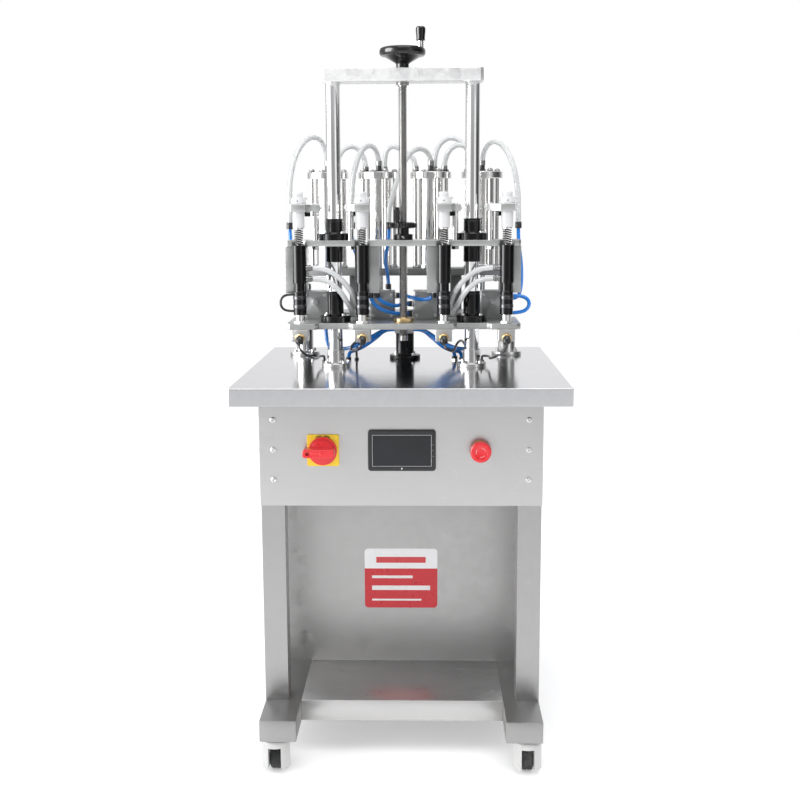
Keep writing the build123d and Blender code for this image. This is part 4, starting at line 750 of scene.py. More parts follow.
# each screw: radius of its head, height of its head, radius of its socket
PANEL_SCREW = (5.4 * MM, 2.8 * MM, 1.9 * MM)
FOOT_SCREW = (4.2 * MM, 5 * MM, 2.1 * MM)
SMALL_SCREW = (3.4 * MM, 3 * MM, 1.6 * MM)
SKIN_SCREW_X = 243 * MM
FRONT_SCREW_ZS = (557 * MM, 615 * MM, 673 * MM)
REAR_SCREW_ZS = (150 * MM, 425 * MM, 690 * MM)
rear_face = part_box("rear_panel")[1].y
front_spots = [((s * SKIN_SCREW_X, panel_face, z), TOWARD_FRONT) for s in (-1, 1) for z in FRONT_SCREW_ZS]
rear_spots = [((s * SKIN_SCREW_X, rear_face, z), TOWARD_BACK) for s in (-1, 1) for z in REAR_SCREW_ZS]
heads("panel_screws", front_spots + rear_spots, "root", *PANEL_SCREW, taper=0.62,
      nodes=["frame_screws"])
table_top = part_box("tabletop")[1].z
FOOT_THICK = 8 * MM
foot_top = table_top + FOOT_THICK
POST_X = 143 * MM
POST_Y = -15 * MM
COLUMN_X = 230 * MM
COLUMN_Y = 194 * MM
DRIVE_Y = 124 * MM
POST_CIRCLE = 25 * MM
COLUMN_CIRCLE = 27 * MM
foot_spots = []
for x, y, circle in ((-POST_X, POST_Y, POST_CIRCLE), (POST_X, POST_Y, POST_CIRCLE),
                     (-COLUMN_X, COLUMN_Y, COLUMN_CIRCLE), (COLUMN_X, COLUMN_Y, COLUMN_CIRCLE),
                     (0, DRIVE_Y, COLUMN_CIRCLE)):
    foot_spots += ring_spots(x, y, foot_top, circle, 4, 45)
heads("foot_screws", foot_spots, "root", *FOOT_SCREW, taper=0.9)

# ---- guide posts, feet, columns and top beam -----------------------------------------------------
# Hard-chromed ground posts in turned steel feet whose collars are slit, two turned columns and a
# black centre column at the back, and a light cast beam that ties the posts together.
chrome = metal("ground chrome", (0.80, 0.80, 0.80), TURNED, 0.05, 0.09, 0.008)
foot_steel = metal("turned foot steel", (0.70, 0.70, 0.69), TURNED, 0.12, 0.22, 0.04)
column_black = metal("black anodised column", (0.028, 0.028, 0.029), TURNED, 0.3, 0.22, 0.03,
                     worn_to=(0.3, 0.3, 0.3))
beam_silver = metal("bead-blasted beam", (0.74, 0.74, 0.74), (500, 500, 500), 0.08, 0.5, 0.10)
refined("guide_posts", "root", chrome, 0.5 * MM)
refined("rear_columns", "root", foot_steel, 0.5 * MM)
refined("center_column", "root", column_black, 0.5 * MM)
refined("top_beam", "root", beam_silver, 0.6 * MM)

SLIT = 1.6 * MM
COLLAR_OUT = 18.5 * MM
COLLAR_IN = 15.3 * MM
COLLAR_TOP = 776 * MM
SLIT_LOW = table_top + 12 * MM
FOOT_OUT = 31 * MM
feet = bmesh.new()
foot_profile = [
    (COLLAR_IN, table_top), (FOOT_OUT - 0.6 * MM, table_top), (FOOT_OUT, table_top + 0.6 * MM),
    (FOOT_OUT, foot_top - 0.8 * MM), (FOOT_OUT - 0.8 * MM, foot_top), (COLLAR_OUT + 1 * MM, foot_top),
    (COLLAR_OUT, foot_top + 1 * MM), (COLLAR_OUT, COLLAR_TOP - 0.8 * MM),
    (COLLAR_OUT - 0.8 * MM, COLLAR_TOP), (COLLAR_IN, COLLAR_TOP),
]
for side in (-1, 1):
    lathe(feet, foot_profile, (side * POST_X, POST_Y, 0), 0, 72, True)
feet_piece = settle(feet, "slit_feet", "root", [foot_steel], ["post_feet"])
cutter_mesh = bmesh.new()
for side in (-1, 1):
    for angle in (-118, -62, 90):
        turn_matrix = (Matrix.Translation((side * POST_X, POST_Y, 0))
                       @ Matrix.Rotation(math.radians(angle), 4, "Z"))
        bmesh.ops.create_cube(cutter_mesh, size=1, matrix=turn_matrix @ Matrix.Translation(
            (17 * MM, 0, (SLIT_LOW + COLLAR_TOP + 4 * MM) / 2)) @ Matrix.Diagonal(
            (8 * MM, SLIT, COLLAR_TOP + 4 * MM - SLIT_LOW, 1)))


def cut(piece, cutter_bm):
    """Cuts a shape out of a piece and removes the tool."""
    bmesh.ops.recalc_face_normals(cutter_bm, faces=cutter_bm.faces)
    mesh = bpy.data.meshes.new("cutter")
    cutter_bm.to_mesh(mesh)
    cutter_bm.free()
    tool = bpy.data.objects.new("cutter", mesh)
    scene.collection.objects.link(tool)
    modifier = piece.modifiers.new("cut", "BOOLEAN")
    modifier.object = tool
    modifier.solver = "EXACT"
    modifier.use_self = True
    bpy.context.view_layer.update()
    shape = piece.evaluated_get(bpy.context.evaluated_depsgraph_get())
    cut_mesh = bpy.data.meshes.new_from_object(shape)
    piece.modifiers.clear()
    piece.data = cut_mesh
    bpy.data.objects.remove(tool)


cut(feet_piece, cutter_mesh)

# ---- lead screw, handwheel and crank -------------------------------------------------------------
# Steel screw with a trapezoidal thread of 4 mm lead, turned by a black handwheel with a conical
# hub. The crank's grip spins on a chromed spindle.
LEAD = 4 * MM
CREST = 9 * MM
ROOT = 6.9 * MM
screw_low, screw_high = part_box("lead_screw")
beam_low, beam_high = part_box("top_beam")
thread_steel = metal("rolled thread steel", (0.30, 0.295, 0.29), (260, 260, 700), 0.35, 0.24, 0.05)
THREAD_TURN = 20
PITCH_STEPS = 8
thread = bmesh.new()
thread_bottom = screw_low.z + 12 * MM
thread_top = beam_low.z - 8 * MM
rows = int((thread_top - thread_bottom) / LEAD) * PITCH_STEPS
# radius over one pitch: root flat, rising flank, crest flat, falling flank
FORM = (ROOT, ROOT, ROOT, 7.95 * MM, CREST, CREST, CREST, 7.95 * MM)
grid = []
for row in range(rows + 1):
    z = thread_bottom + row * LEAD / PITCH_STEPS
    ring_verts = []
    for i in range(THREAD_TURN):
        phase = (row - i * PITCH_STEPS / THREAD_TURN) % PITCH_STEPS
        low_step = int(phase)
        share = phase - low_step
        radius = FORM[low_step] * (1 - share) + FORM[(low_step + 1) % PITCH_STEPS] * share
        angle = 2 * math.pi * i / THREAD_TURN
        ring_verts.append(thread.verts.new((radius * math.cos(angle), POST_Y + radius * math.sin(angle), z)))
    grid.append(ring_verts)
for low_ring, high_ring in zip(grid, grid[1:]):
    for i in range(THREAD_TURN):
        j = (i + 1) % THREAD_TURN
        thread.faces.new([low_ring[i], low_ring[j], high_ring[j], high_ring[i]])
thread.faces.new(list(reversed(grid[0])))
thread.faces.new(grid[-1])
screw_axis = (0, POST_Y, 0)
lathe(thread, rod_profile(CREST, screw_low.z, thread_bottom + 1 * MM, 1.5 * MM), screw_axis, 0, 40)
lathe(thread, rod_profile(CREST, thread_top - 1 * MM, beam_high.z + 2 * MM, 0.4 * MM), screw_axis, 0, 40)
lathe(thread, rod_profile(6 * MM, beam_high.z, screw_high.z, 0.6 * MM), screw_axis, 0, 40)
lathe(thread, ring_profile(13 * MM, 8.9 * MM, beam_low.z - 6.1 * MM, beam_low.z - 0.1 * MM, 0.8 * MM),
      screw_axis, 0, 48, True)
settle(thread, "threaded_screw", "screw", [thread_steel], ["lead_screw"])

wheel_black = moulded("gloss black bakelite", (0.004, 0.004, 0.004), 0.2, 260, 0.03, 0.0, 0.05)
hub_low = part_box("top_handwheel")[0].z
RIM_R = 47 * MM
rim_low = 1374 * MM
rim_high = rim_low + 16 * MM
wheel_profile = [
    (6.05 * MM, hub_low), (12.4 * MM, hub_low), (13 * MM, hub_low + 0.6 * MM), (13 * MM, hub_low + 8 * MM),
    (16 * MM, hub_low + 10.5 * MM), (38 * MM, rim_low - 0.6 * MM), (43.5 * MM, rim_low),
    (RIM_R - 1.2 * MM, rim_low + 2 * MM), (RIM_R, rim_low + 5 * MM), (RIM_R, rim_low + 10 * MM),
    (RIM_R - 1.5 * MM, rim_low + 14 * MM), (RIM_R - 4.5 * MM, rim_high),
    (RIM_R - 8 * MM, rim_high - 2 * MM), (RIM_R - 10 * MM, rim_high - 5 * MM),
    (30 * MM, rim_low + 6.5 * MM), (16 * MM, rim_low + 5 * MM), (14 * MM, rim_low + 9 * MM),
    (6.05 * MM, rim_low + 9 * MM),
]
handwheel = bmesh.new()
lathe(handwheel, wheel_profile, screw_axis, 0, 96, True)
crank_axis = (37 * MM, POST_Y, 0)
lathe(handwheel, rod_profile(6 * MM, rim_low + 4 * MM, 1404 * MM, 0.8 * MM), crank_axis, 1, 40)
lathe(handwheel, rod_profile(3 * MM, 1403 * MM, 1424 * MM, 0.3 * MM), crank_axis, 1, 24)
settle(handwheel, "bakelite_handwheel", "screw", [wheel_black, chrome], ["top_handwheel"])
grip = bmesh.new()
grip_profile = mm(
    (3.06, 1404.1), (8.4, 1404.1), (9.0, 1405), (8.6, 1409), (9.2, 1416), (10, 1424), (9.6, 1429),
    (7.6, 1431.4), (4, 1432), (0, 1432),
)
lathe(grip, [(0, 1424.8 * MM), (3.06 * MM, 1424.8 * MM), *grip_profile], crank_axis, 0, 48)
settle(grip, "turning_grip", "crank", [wheel_black], ["crank_grip"])

# ---- carriage plate, bushes and lead nut ---------------------------------------------------------
# A machined, matt-anodised plate carries two black flanged slide bushes, held by socket screws, and
# a flat flanged brass nut on the lead screw.
plate_grey = metal("matt anodised plate", (0.46, 0.47, 0.46), ACROSS, 0.10, 0.42, 0.06)
anodised_black = metal("gloss black anodised", (0.028, 0.028, 0.029), TURNED, 0.35, 0.22, 0.02,
                       worn_to=(0.2, 0.2, 0.2))
nut_brass = metal("machined brass", (0.66, 0.48, 0.24), TURNED, 0.2, 0.24, 0.04)
refined("lower_plate", "carriage", plate_grey, 0.5 * MM)
plate_top = 834 * MM
upper_top = 1004 * MM


def slide_bush(bm, x, base, low, high):
    """Black slide bush: a body with a grooved neck and a flange that stands on base."""
    bore = 15.05 * MM
    profile = [
        (bore, low), (16.9 * MM, low), (17.5 * MM, low + 0.6 * MM), (17.5 * MM, base), (31.2 * MM, base),
        (32 * MM, base + 0.8 * MM), (32 * MM, base + 12.8 * MM), (30.8 * MM, base + 14 * MM),
        (19 * MM, base + 14 * MM), (18.4 * MM, base + 14.6 * MM), (17.5 * MM, base + 16 * MM),
        (17.5 * MM, high - 6 * MM), (17 * MM, high - 5.6 * MM), (17 * MM, high - 4.6 * MM),
        (17.5 * MM, high - 4.2 * MM), (17.5 * MM, high - 0.8 * MM), (16.7 * MM, high), (bore, high),
    ]
    lathe(bm, profile, (x, POST_Y, 0), 0, 72, True)


FLANGE_HIGH = 14 * MM
BUSH_SCREW_CIRCLE = 25.5 * MM
BUSH_SCREW = (3.9 * MM, 4 * MM, 1.9 * MM)


def bush_screws(name, base, body):
    """Four socket screws on the flange of each bush that stands on base."""
    spots = []
    for side in (-1, 1):
        spots += ring_spots(side * POST_X, POST_Y, base + FLANGE_HIGH, BUSH_SCREW_CIRCLE, 4, 45)
    heads(name, spots, body, *BUSH_SCREW, taper=0.9)


bushes = bmesh.new()
for side in (-1, 1):
    slide_bush(bushes, side * POST_X, plate_top, 822 * MM, 898 * MM)
settle(bushes, "lower_slide_bushes", "carriage", [anodised_black], ["lower_bushes"])
bush_screws("lower_bush_screws", plate_top, "carriage")
nut = bmesh.new()
lathe(nut, [
    (9.05 * MM, 822 * MM), (11.4 * MM, 822 * MM), (12 * MM, 822.6 * MM), (12 * MM, plate_top),
    (21.2 * MM, plate_top), (22 * MM, plate_top + 0.8 * MM), (22 * MM, plate_top + 7.2 * MM),
    (21.2 * MM, plate_top + 8 * MM), (11 * MM, plate_top + 8 * MM), (10.4 * MM, plate_top + 9.6 * MM),
    (9.05 * MM, plate_top + 9.6 * MM),
], screw_axis, 0, 64, True)
settle(nut, "flanged_brass_nut", "carriage", [nut_brass], ["lead_nut"])

# ---- nozzle couplers -----------------------------------------------------------------------------
# The lower half of each nozzle stands on the plate: a bright hexagon fitting, a black coupler with
# two grey rings, a black spigot that enters the sleeve, and the outlet tip below the plate.
NOZZLE_XS = (-213 * MM, -84 * MM, 84 * MM, 213 * MM)
NOZZLE_Y = -55 * MM
ring_grey = metal("grey anodised ring", (0.075, 0.075, 0.08), TURNED, 0.2, 0.25, 0.03)
couplers = bmesh.new()
COUPLER = mm(
    (4, 852), (12.7, 852), (13.5, 852.8), (13.5, 865), (13.5, 899.2), (12.7, 900), (11, 900),
    (11, 934.4), (10.4, 935), (4, 935),
)
TIP_BORE = 4 * MM
HEX_CORNER = 11.5 * MM / math.cos(math.pi / 6)
OUTLET_TIP = mm((4, 790), (5.2, 790), (6, 790.8), (6, 821), (8, 822), (8, 834), (4, 834))
for x in NOZZLE_XS:
    axis = (x, NOZZLE_Y, 0)
    lathe(couplers, COUPLER, axis, 0, 64, True)
    for low in (866 * MM, 884 * MM):
        lathe(couplers, ring_profile(14.2 * MM, 13.3 * MM, low, low + 7 * MM, 0.5 * MM), axis, 1, 64, True)
    lathe(couplers, ring_profile(HEX_CORNER, TIP_BORE, plate_top, plate_top + 5 * MM, 0.8 * MM), axis,
          2, 6, True)
    lathe(couplers, ring_profile(9.6 * MM, TIP_BORE, plate_top + 4 * MM, 853 * MM, 0.4 * MM), axis,
          2, 48, True)
    lathe(couplers, OUTLET_TIP, axis, 2, 40, True)
settle(couplers, "nozzle_lower_halves", "carriage", [anodised_black, ring_grey, foot_steel],
       ["nozzle_couplers"])

# ---- bottle sensors ------------------------------------------------------------------------------
# A small aluminium block under the plate holds a brass-bodied optical sensor that looks down and
# forward at the bottle's neck. Its black face ring and cable cap show at the front.
sensor_body = moulded("sensor black", (0.013, 0.013, 0.014), 0.3, 600, 0.05, 0.05, 0.2)
cast_block = metal("milled block", (0.52, 0.52, 0.515), (300, 1200, 300), 0.12, 0.4, 0.08)
TILT = math.radians(30)
sensor_axis = Vector((0, -math.cos(TILT), -math.sin(TILT)))
SENSOR_Z = 808 * MM
BLOCK_HALF = 17 * MM
sensors = bmesh.new()
blocks = bmesh.new()
for x in NOZZLE_XS:
    slab(blocks, (x - BLOCK_HALF, NOZZLE_Y - 13 * MM, 797 * MM),
         (x + BLOCK_HALF, NOZZLE_Y + 19 * MM, 822 * MM), 1.2 * MM)
    seat = Vector((x, NOZZLE_Y - 8 * MM, SENSOR_Z))
    along = facing_axis(seat, sensor_axis)
    lathe(sensors, ring_profile(11.5 * MM, 6 * MM, 4 * MM, 8.5 * MM, 0.8 * MM), along, 1, 6, True)
    for groove in range(2):
        at = 8.5 * MM + groove * 1.2 * MM
        lathe(sensors, ring_profile(9.7 * MM, 6 * MM, at, at + 1.1 * MM, 0.25 * MM), along, 1, 48, True)
    lathe(sensors, mm(
        (0, 4), (8.4, 4), (8.4, 19), (7.6, 20.4), (6.4, 21), (4.6, 23.4), (3.4, 24), (0, 24),
    ), along, 0, 48)
blocks_piece = settle(blocks, "sensor_blocks", "carriage", [cast_block],
                      ["bottle_sensors"])
hole_tools = bmesh.new()
for x in NOZZLE_XS:
    lathe(hole_tools, rod_profile(6.3 * MM, 780 * MM, 830 * MM), (x, NOZZLE_Y, 0), 0, 40)
cut(blocks_piece, hole_tools)
settle(sensors, "bottle_sensor_barrels", "carriage", [sensor_body, nut_brass])

# ---- product valve blocks ------------------------------------------------------------------------
# Four milled aluminium valve blocks at the back of the plate, each with a front port boss, four
# cover screws, and black push-in fittings for the air lines.
valve_grey = metal("milled valve block", (0.40, 0.41, 0.41), (260, 260, 1300), 0.14, 0.4, 0.08)
refined("valve_blocks", "carriage", valve_grey, 0.5 * MM)
VALVE_XS = (-190 * MM, -47 * MM, 47 * MM, 190 * MM)
VALVE_FRONT = 42 * MM
cover_spots = []
for x in VALVE_XS:
    for dx in (-20 * MM, 20 * MM):
        for z in (842 * MM, 886 * MM):
            cover_spots.append(((x + dx, VALVE_FRONT, z), TOWARD_FRONT))
heads("valve_cover_screws", cover_spots, "carriage", *SMALL_SCREW, taper=0.9)

# ---- head plate, bushes and guide blocks ---------------------------------------------------------
# The upper plate carries the nozzles' upper halves. It slides on the same posts in two more black
# bushes, and square milled blocks below it steady the sleeves.
refined("upper_plate", "head", plate_grey, 0.5 * MM)
guide_silver = metal("milled guide block", (0.36, 0.365, 0.36), (300, 300, 1300), 0.12, 0.38, 0.08,
                     worn_to=(0.66, 0.66, 0.65))
refined("guide_blocks", "head", guide_silver, 0.6 * MM)
upper_bushes = bmesh.new()
for side in (-1, 1):
    slide_bush(upper_bushes, side * POST_X, upper_top, 959 * MM, 1048 * MM)
settle(upper_bushes, "upper_slide_bushes", "head", [anodised_black], ["upper_bushes"])
bush_screws("upper_bush_screws", upper_top, "head")

# ---- sleeves and barbs ---------------------------------------------------------------------------
# Gloss black sleeves slide over the spigots. Each outer sleeve has two ridged hose barbs with a
# crimped ring on the side that faces the middle.
barb_steel = metal("crimped barb steel", (0.24, 0.24, 0.235), TURNED, 0.2, 0.26, 0.03)
sleeves = bmesh.new()
SLEEVE = mm(
    (11.05, 917), (13.8, 917), (14.5, 917.7), (14.5, 994.2), (13.7, 995), (5.05, 995), (5.05, 957),
    (11.05, 957),
)
BARB_ZS = (926 * MM, 948 * MM)
BARB = mm(
    (0, 0), (6.4, 0), (6.4, 4), (4.6, 4.4), (4.6, 6), (6.2, 6.2), (6.2, 8.2), (5.2, 8.6), (6.2, 9.2),
    (6.2, 11.4), (5.2, 11.8), (4.6, 14), (0, 14),
)
for x in NOZZLE_XS:
    lathe(sleeves, SLEEVE, (x, NOZZLE_Y, 0), 0, 64, True)
for x, inward in ((NOZZLE_XS[0], 1), (NOZZLE_XS[-1], -1)):
    for z in BARB_ZS:
        lathe(sleeves, BARB, facing_axis((x + inward * 13.9 * MM, NOZZLE_Y, z), (inward, 0, 0)), 1, 40)
settle(sleeves, "valve_sleeves", "head", [anodised_black, barb_steel], ["nozzle_sleeves"])

# ---- clamp rods and bars -------------------------------------------------------------------------
# Beside each nozzle a chromed rod stands on the plate. A milled block clamps the white head, and a
# bar set back behind it reaches over the rod. Both are slit, and a screw draws the bar tight.
ROD_XS = (-180.5 * MM, -107.5 * MM, 107.5 * MM, 180.5 * MM)
ROD_Y = -35 * MM
clamp_grey = metal("milled clamp bar", (0.50, 0.51, 0.50), (1100, 260, 260), 0.12, 0.4, 0.08)
CLAMP_LOW = 1062 * MM
CLAMP_HIGH = 1078 * MM
CLAMP_HALF = 15.5 * MM
BAR_HALF = 11 * MM
CLAMP_EDGE = 1.4 * MM
rods = bmesh.new()
bars = bmesh.new()
for rod_x, x in zip(ROD_XS, NOZZLE_XS):
    lathe(rods, rod_profile(6.3 * MM, 992 * MM, CLAMP_HIGH + 1.2 * MM, 0.8 * MM), (rod_x, ROD_Y, 0), 0, 40)
    lathe(rods, rod_profile(8.66 * MM, 985 * MM, 992 * MM, 0.8 * MM), (rod_x, ROD_Y, 0), 1, 6)
    toward = 1 if rod_x > x else -1
    nut_axis = (x + toward * 17.5 * MM, NOZZLE_Y + 12 * MM, 0)
    lathe(rods, rod_profile(6.6 * MM, CLAMP_LOW - 9 * MM, CLAMP_LOW - 0.1 * MM, 0.8 * MM), nut_axis, 2, 6)
    slab(bars, (x - CLAMP_HALF, NOZZLE_Y - CLAMP_HALF, CLAMP_LOW),
         (x + CLAMP_HALF, NOZZLE_Y + CLAMP_HALF, CLAMP_HIGH), CLAMP_EDGE)
    rear_low = (min(rod_x - BAR_HALF, x - 9 * MM), NOZZLE_Y + 9 * MM, CLAMP_LOW + 0.6 * MM)
    rear_high = (max(rod_x + BAR_HALF, x + 9 * MM), ROD_Y + BAR_HALF, CLAMP_HIGH - 0.6 * MM)
    slab(bars, rear_low, rear_high, CLAMP_EDGE)
settle(rods, "clamp_uprights", "head", [chrome, screw_steel, anodised_black], ["clamp_rods"])
bars_piece = settle(bars, "clamp_bars", "head", [clamp_grey])
bores = bmesh.new()
for rod_x, x in zip(ROD_XS, NOZZLE_XS):
    lathe(bores, rod_profile(6.35 * MM, 1050 * MM, 1090 * MM), (rod_x, ROD_Y, 0), 0, 40)
    lathe(bores, rod_profile(12.35 * MM, 1050 * MM, 1090 * MM), (x, NOZZLE_Y, 0), 0, 48)
    slab(bores, (x - 0.9 * MM, NOZZLE_Y + 5 * MM, 1050 * MM), (x + 0.9 * MM, ROD_Y + 14 * MM, 1090 * MM))
    slab(bores, (rod_x - 0.8 * MM, ROD_Y + 3 * MM, 1050 * MM), (rod_x + 0.8 * MM, ROD_Y + 14 * MM, 1090 * MM))
cut(bars_piece, bores)
side_spots = []
for rod_x, x in zip(ROD_XS, NOZZLE_XS):
    outward = 1 if rod_x > x else -1
    end_x = rod_x + outward * BAR_HALF
    side_spots.append(((end_x, ROD_Y + 6 * MM, 1070 * MM), (0, math.radians(90 * outward), 0)))
heads("clamp_screws", side_spots, "head", *SMALL_SCREW, taper=0.9)

# ---- nozzle heads --------------------------------------------------------------------------------
# Turned white plastic: a long tube through the clamp, a wider head with a shallow groove, a cap, a
# small side barb and two black set screws.
ptfe = moulded("white turned plastic", (0.72, 0.72, 0.73), 0.36, 420, 0.05, 0.04)
heads_mesh = bmesh.new()
HEAD = mm(
    (5.05, 1030), (11.5, 1030), (12.3, 1030.8), (12.3, 1078), (15, 1078), (16, 1079.2), (16, 1084),
    (14.6, 1090.4), (13.8, 1091), (10.5, 1091), (10.5, 1093.5), (9.9, 1094), (9.9, 1095),
    (10.5, 1095.5), (10.5, 1100.6), (9.2, 1102), (0, 1102), (0, 1066), (5.05, 1066),
)
for x in NOZZLE_XS:
    lathe(heads_mesh, HEAD, (x, NOZZLE_Y, 0), 0, 64, True)
    elbow = facing_axis((x + 12 * MM, NOZZLE_Y, 1088 * MM), (0.94, 0, 0.34))
    lathe(heads_mesh, mm(
        (0, 0), (3, 0), (3, 3), (2, 3.4), (2, 4.6), (2.7, 5), (2.2, 7), (0, 7),
    ), elbow, 0, 24)
    for aim in ((-1, 0, 0), (0, -1, 0)):
        dot = facing_axis(Vector((x, NOZZLE_Y, 1084 * MM)) + Vector(aim) * 15.6 * MM, aim)
        lathe(heads_mesh, rod_profile(1.3 * MM, -1 * MM, 0.9 * MM, 0.2 * MM), dot, 1, 20)
settle(heads_mesh, "white_nozzle_heads", "head", [ptfe, sensor_body], ["nozzle_heads"])

# ---- valve stems and springs ---------------------------------------------------------------------
# A chromed stem runs from each head into its sleeve. A coil spring between the sleeve and the
# stem's seat holds the valve shut.
spring_steel = metal("spring wire", (0.09, 0.088, 0.086), (900, 900, 900), 0.15, 0.18, 0.02)


def coil_tree():
    """Geometry Nodes: a round wire wound up a helix."""
    tree = bpy.data.node_groups.new("coil spring", "GeometryNodeTree")
    tree.interface.new_socket("Geometry", in_out="INPUT", socket_type="NodeSocketGeometry")
    for label in ("Turns", "Radius", "Height", "Wire Radius"):
        tree.interface.new_socket(label, in_out="INPUT", socket_type="NodeSocketFloat")
    tree.interface.new_socket("Finish", in_out="INPUT", socket_type="NodeSocketMaterial")
    tree.interface.new_socket("Geometry", in_out="OUTPUT", socket_type="NodeSocketGeometry")
    given = tree.nodes.new("NodeGroupInput").outputs
    helix = add(tree, "GeometryNodeCurveSpiral", {
        "Resolution": 28, "Rotations": given["Turns"], "Start Radius": given["Radius"],
        "End Radius": given["Radius"], "Height": given["Height"]})
    wire = add(tree, "GeometryNodeCurvePrimitiveCircle", {"Resolution": 10, "Radius": given["Wire Radius"]})
    round_wire = add(tree, "GeometryNodeCurveToMesh", {
        "Curve": helix.outputs[0], "Profile Curve": wire.outputs[0], "Fill Caps": True})
    smooth = add(tree, "GeometryNodeSetShadeSmooth", {"Geometry": round_wire.outputs[0]})
    points = add(tree, "GeometryNodeMeshToPoints", {"Mesh": given["Geometry"]})
    copies = add(tree, "GeometryNodeInstanceOnPoints", {
        "Points": points.outputs["Points"], "Instance": smooth.outputs["Geometry"]})
    real = add(tree, "GeometryNodeRealizeInstances", {"Geometry": copies.outputs["Instances"]})
    painted = add(tree, "GeometryNodeSetMaterial", {"Geometry": real.outputs[0], "Material": given["Finish"]})
    tree.links.new(painted.outputs[0], tree.nodes.new("NodeGroupOutput").inputs[0])
    return tree


coils = coil_tree()
SPRING_LOW = 995 * MM
SPRING_HIGH = 1026.9 * MM
WIRE_R = 1.15 * MM
for number, x in enumerate(NOZZLE_XS, 1):
    refined(f"nozzle_stem_{number}", f"stem_{number}", chrome, 0.3 * MM)
    spring = grown(f"spring_{number}", coils, {
        "Turns": 6.5, "Radius": 8.35 * MM, "Height": SPRING_HIGH - SPRING_LOW - 2 * WIRE_R,
        "Wire Radius": WIRE_R, "Finish": spring_steel,
    }, [((x, NOZZLE_Y, SPRING_LOW + WIRE_R), UP)], "head",
        ["nozzle_springs"] if number == 1 else ())
    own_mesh(spring)

# ---- adjusting wheel -----------------------------------------------------------------------------
# Small black anodised wheel on the lead screw that trims the head's height. It is turned in one
# with its stepped hub, its rim is ribbed for the fingers, and a pull grip stands on it.
WHEEL_Z = upper_top + 0.1 * MM
WHEEL_BORE = 9.06 * MM
adjust = bmesh.new()
lathe(adjust, ring_profile(20 * MM, WHEEL_BORE, WHEEL_Z, WHEEL_Z + 12 * MM, 1 * MM), screw_axis, 0, 64, True)
lathe(adjust, ring_profile(12 * MM, WHEEL_BORE, WHEEL_Z + 11 * MM, WHEEL_Z + 25 * MM, 0.5 * MM), screw_axis,
      0, 48, True)
lathe(adjust, mm(
    (9.06, 24), (24, 24), (27.4, 25.5), (27.8, 30), (27.4, 34.5), (24, 36), (20, 34), (12, 34), (9.06, 36),
    base=WHEEL_Z,
), screw_axis, 0, 72, True)
grip_x, grip_y = -13 * MM, POST_Y - 18 * MM
lathe(adjust, mm(
    (0, 33), (5.2, 33), (5.2, 38), (5.9, 39), (5.9, 64), (5, 67), (0, 67), base=WHEEL_Z,
), (grip_x, grip_y, 0), 0, 40)
settle(adjust, "trim_wheel", "adjuster", [anodised_black], ["adjust_wheel"])


def rib_spots(x, y, z, radius, count):
    """Upright ribs spaced round a rim."""
    return [((x + radius * math.cos(a), y + radius * math.sin(a), z), UP)
            for a in (2 * math.pi * i / count for i in range(count))]


heads("trim_wheel_ribs", rib_spots(0, POST_Y, WHEEL_Z + 25.5 * MM, 27.4 * MM, 30), "adjuster",
      1.5 * MM, 9 * MM, 0.3 * MM, anodised_black, taper=0.7, sides=10, deep=0.1, slot="black_anodised")
heads("trim_grip_knurl", rib_spots(grip_x, grip_y, WHEEL_Z + 40 * MM, 5.8 * MM, 18), "adjuster", 0.65 * MM,
      23 * MM, 0.15 * MM, anodised_black, taper=0.7, sides=8, deep=0.1, slot="black_anodised")
collar_screws = [((0, POST_Y - 19.6 * MM, WHEEL_Z + 6 * MM), TOWARD_FRONT)]
heads("trim_collar_screw", collar_screws, "adjuster", 2.6 * MM, 1.6 * MM, 1.4 * MM, taper=0.9)

# ---- metering cylinders --------------------------------------------------------------------------
# Four polished steel cylinders between disc caps, pulled together by tie rods with nuts. A black
# nipple on each cap takes the product hose in a grey crimped cuff.
CYLINDER_XS = (-172 * MM, -58 * MM, 58 * MM, 172 * MM)
CYLINDER_Y = 190 * MM
TUBE_LOW = 937 * MM
TUBE_HIGH = 1134 * MM
CAP_HIGH = 1149 * MM
NIPPLE_HIGH = 1163 * MM
polished = metal("polished cylinder steel", (0.76, 0.76, 0.75), TURNED, 0.10, 0.12, 0.015)
cap_steel = metal("turned cap steel", (0.74, 0.74, 0.73), TURNED, 0.10, 0.16, 0.02)
tie_steel = metal("tie rod steel", (0.50, 0.49, 0.48), TURNED, 0.2, 0.22, 0.03)
nipple_black = moulded("nipple black", (0.02, 0.02, 0.022), 0.3, 500, 0.05, 0.05, 0.2)
cylinders = bmesh.new()
tie_spots = []
TIE_CIRCLE = 38 * MM
TUBE_OUT = 27.5 * MM
CAP_OUT = 46 * MM
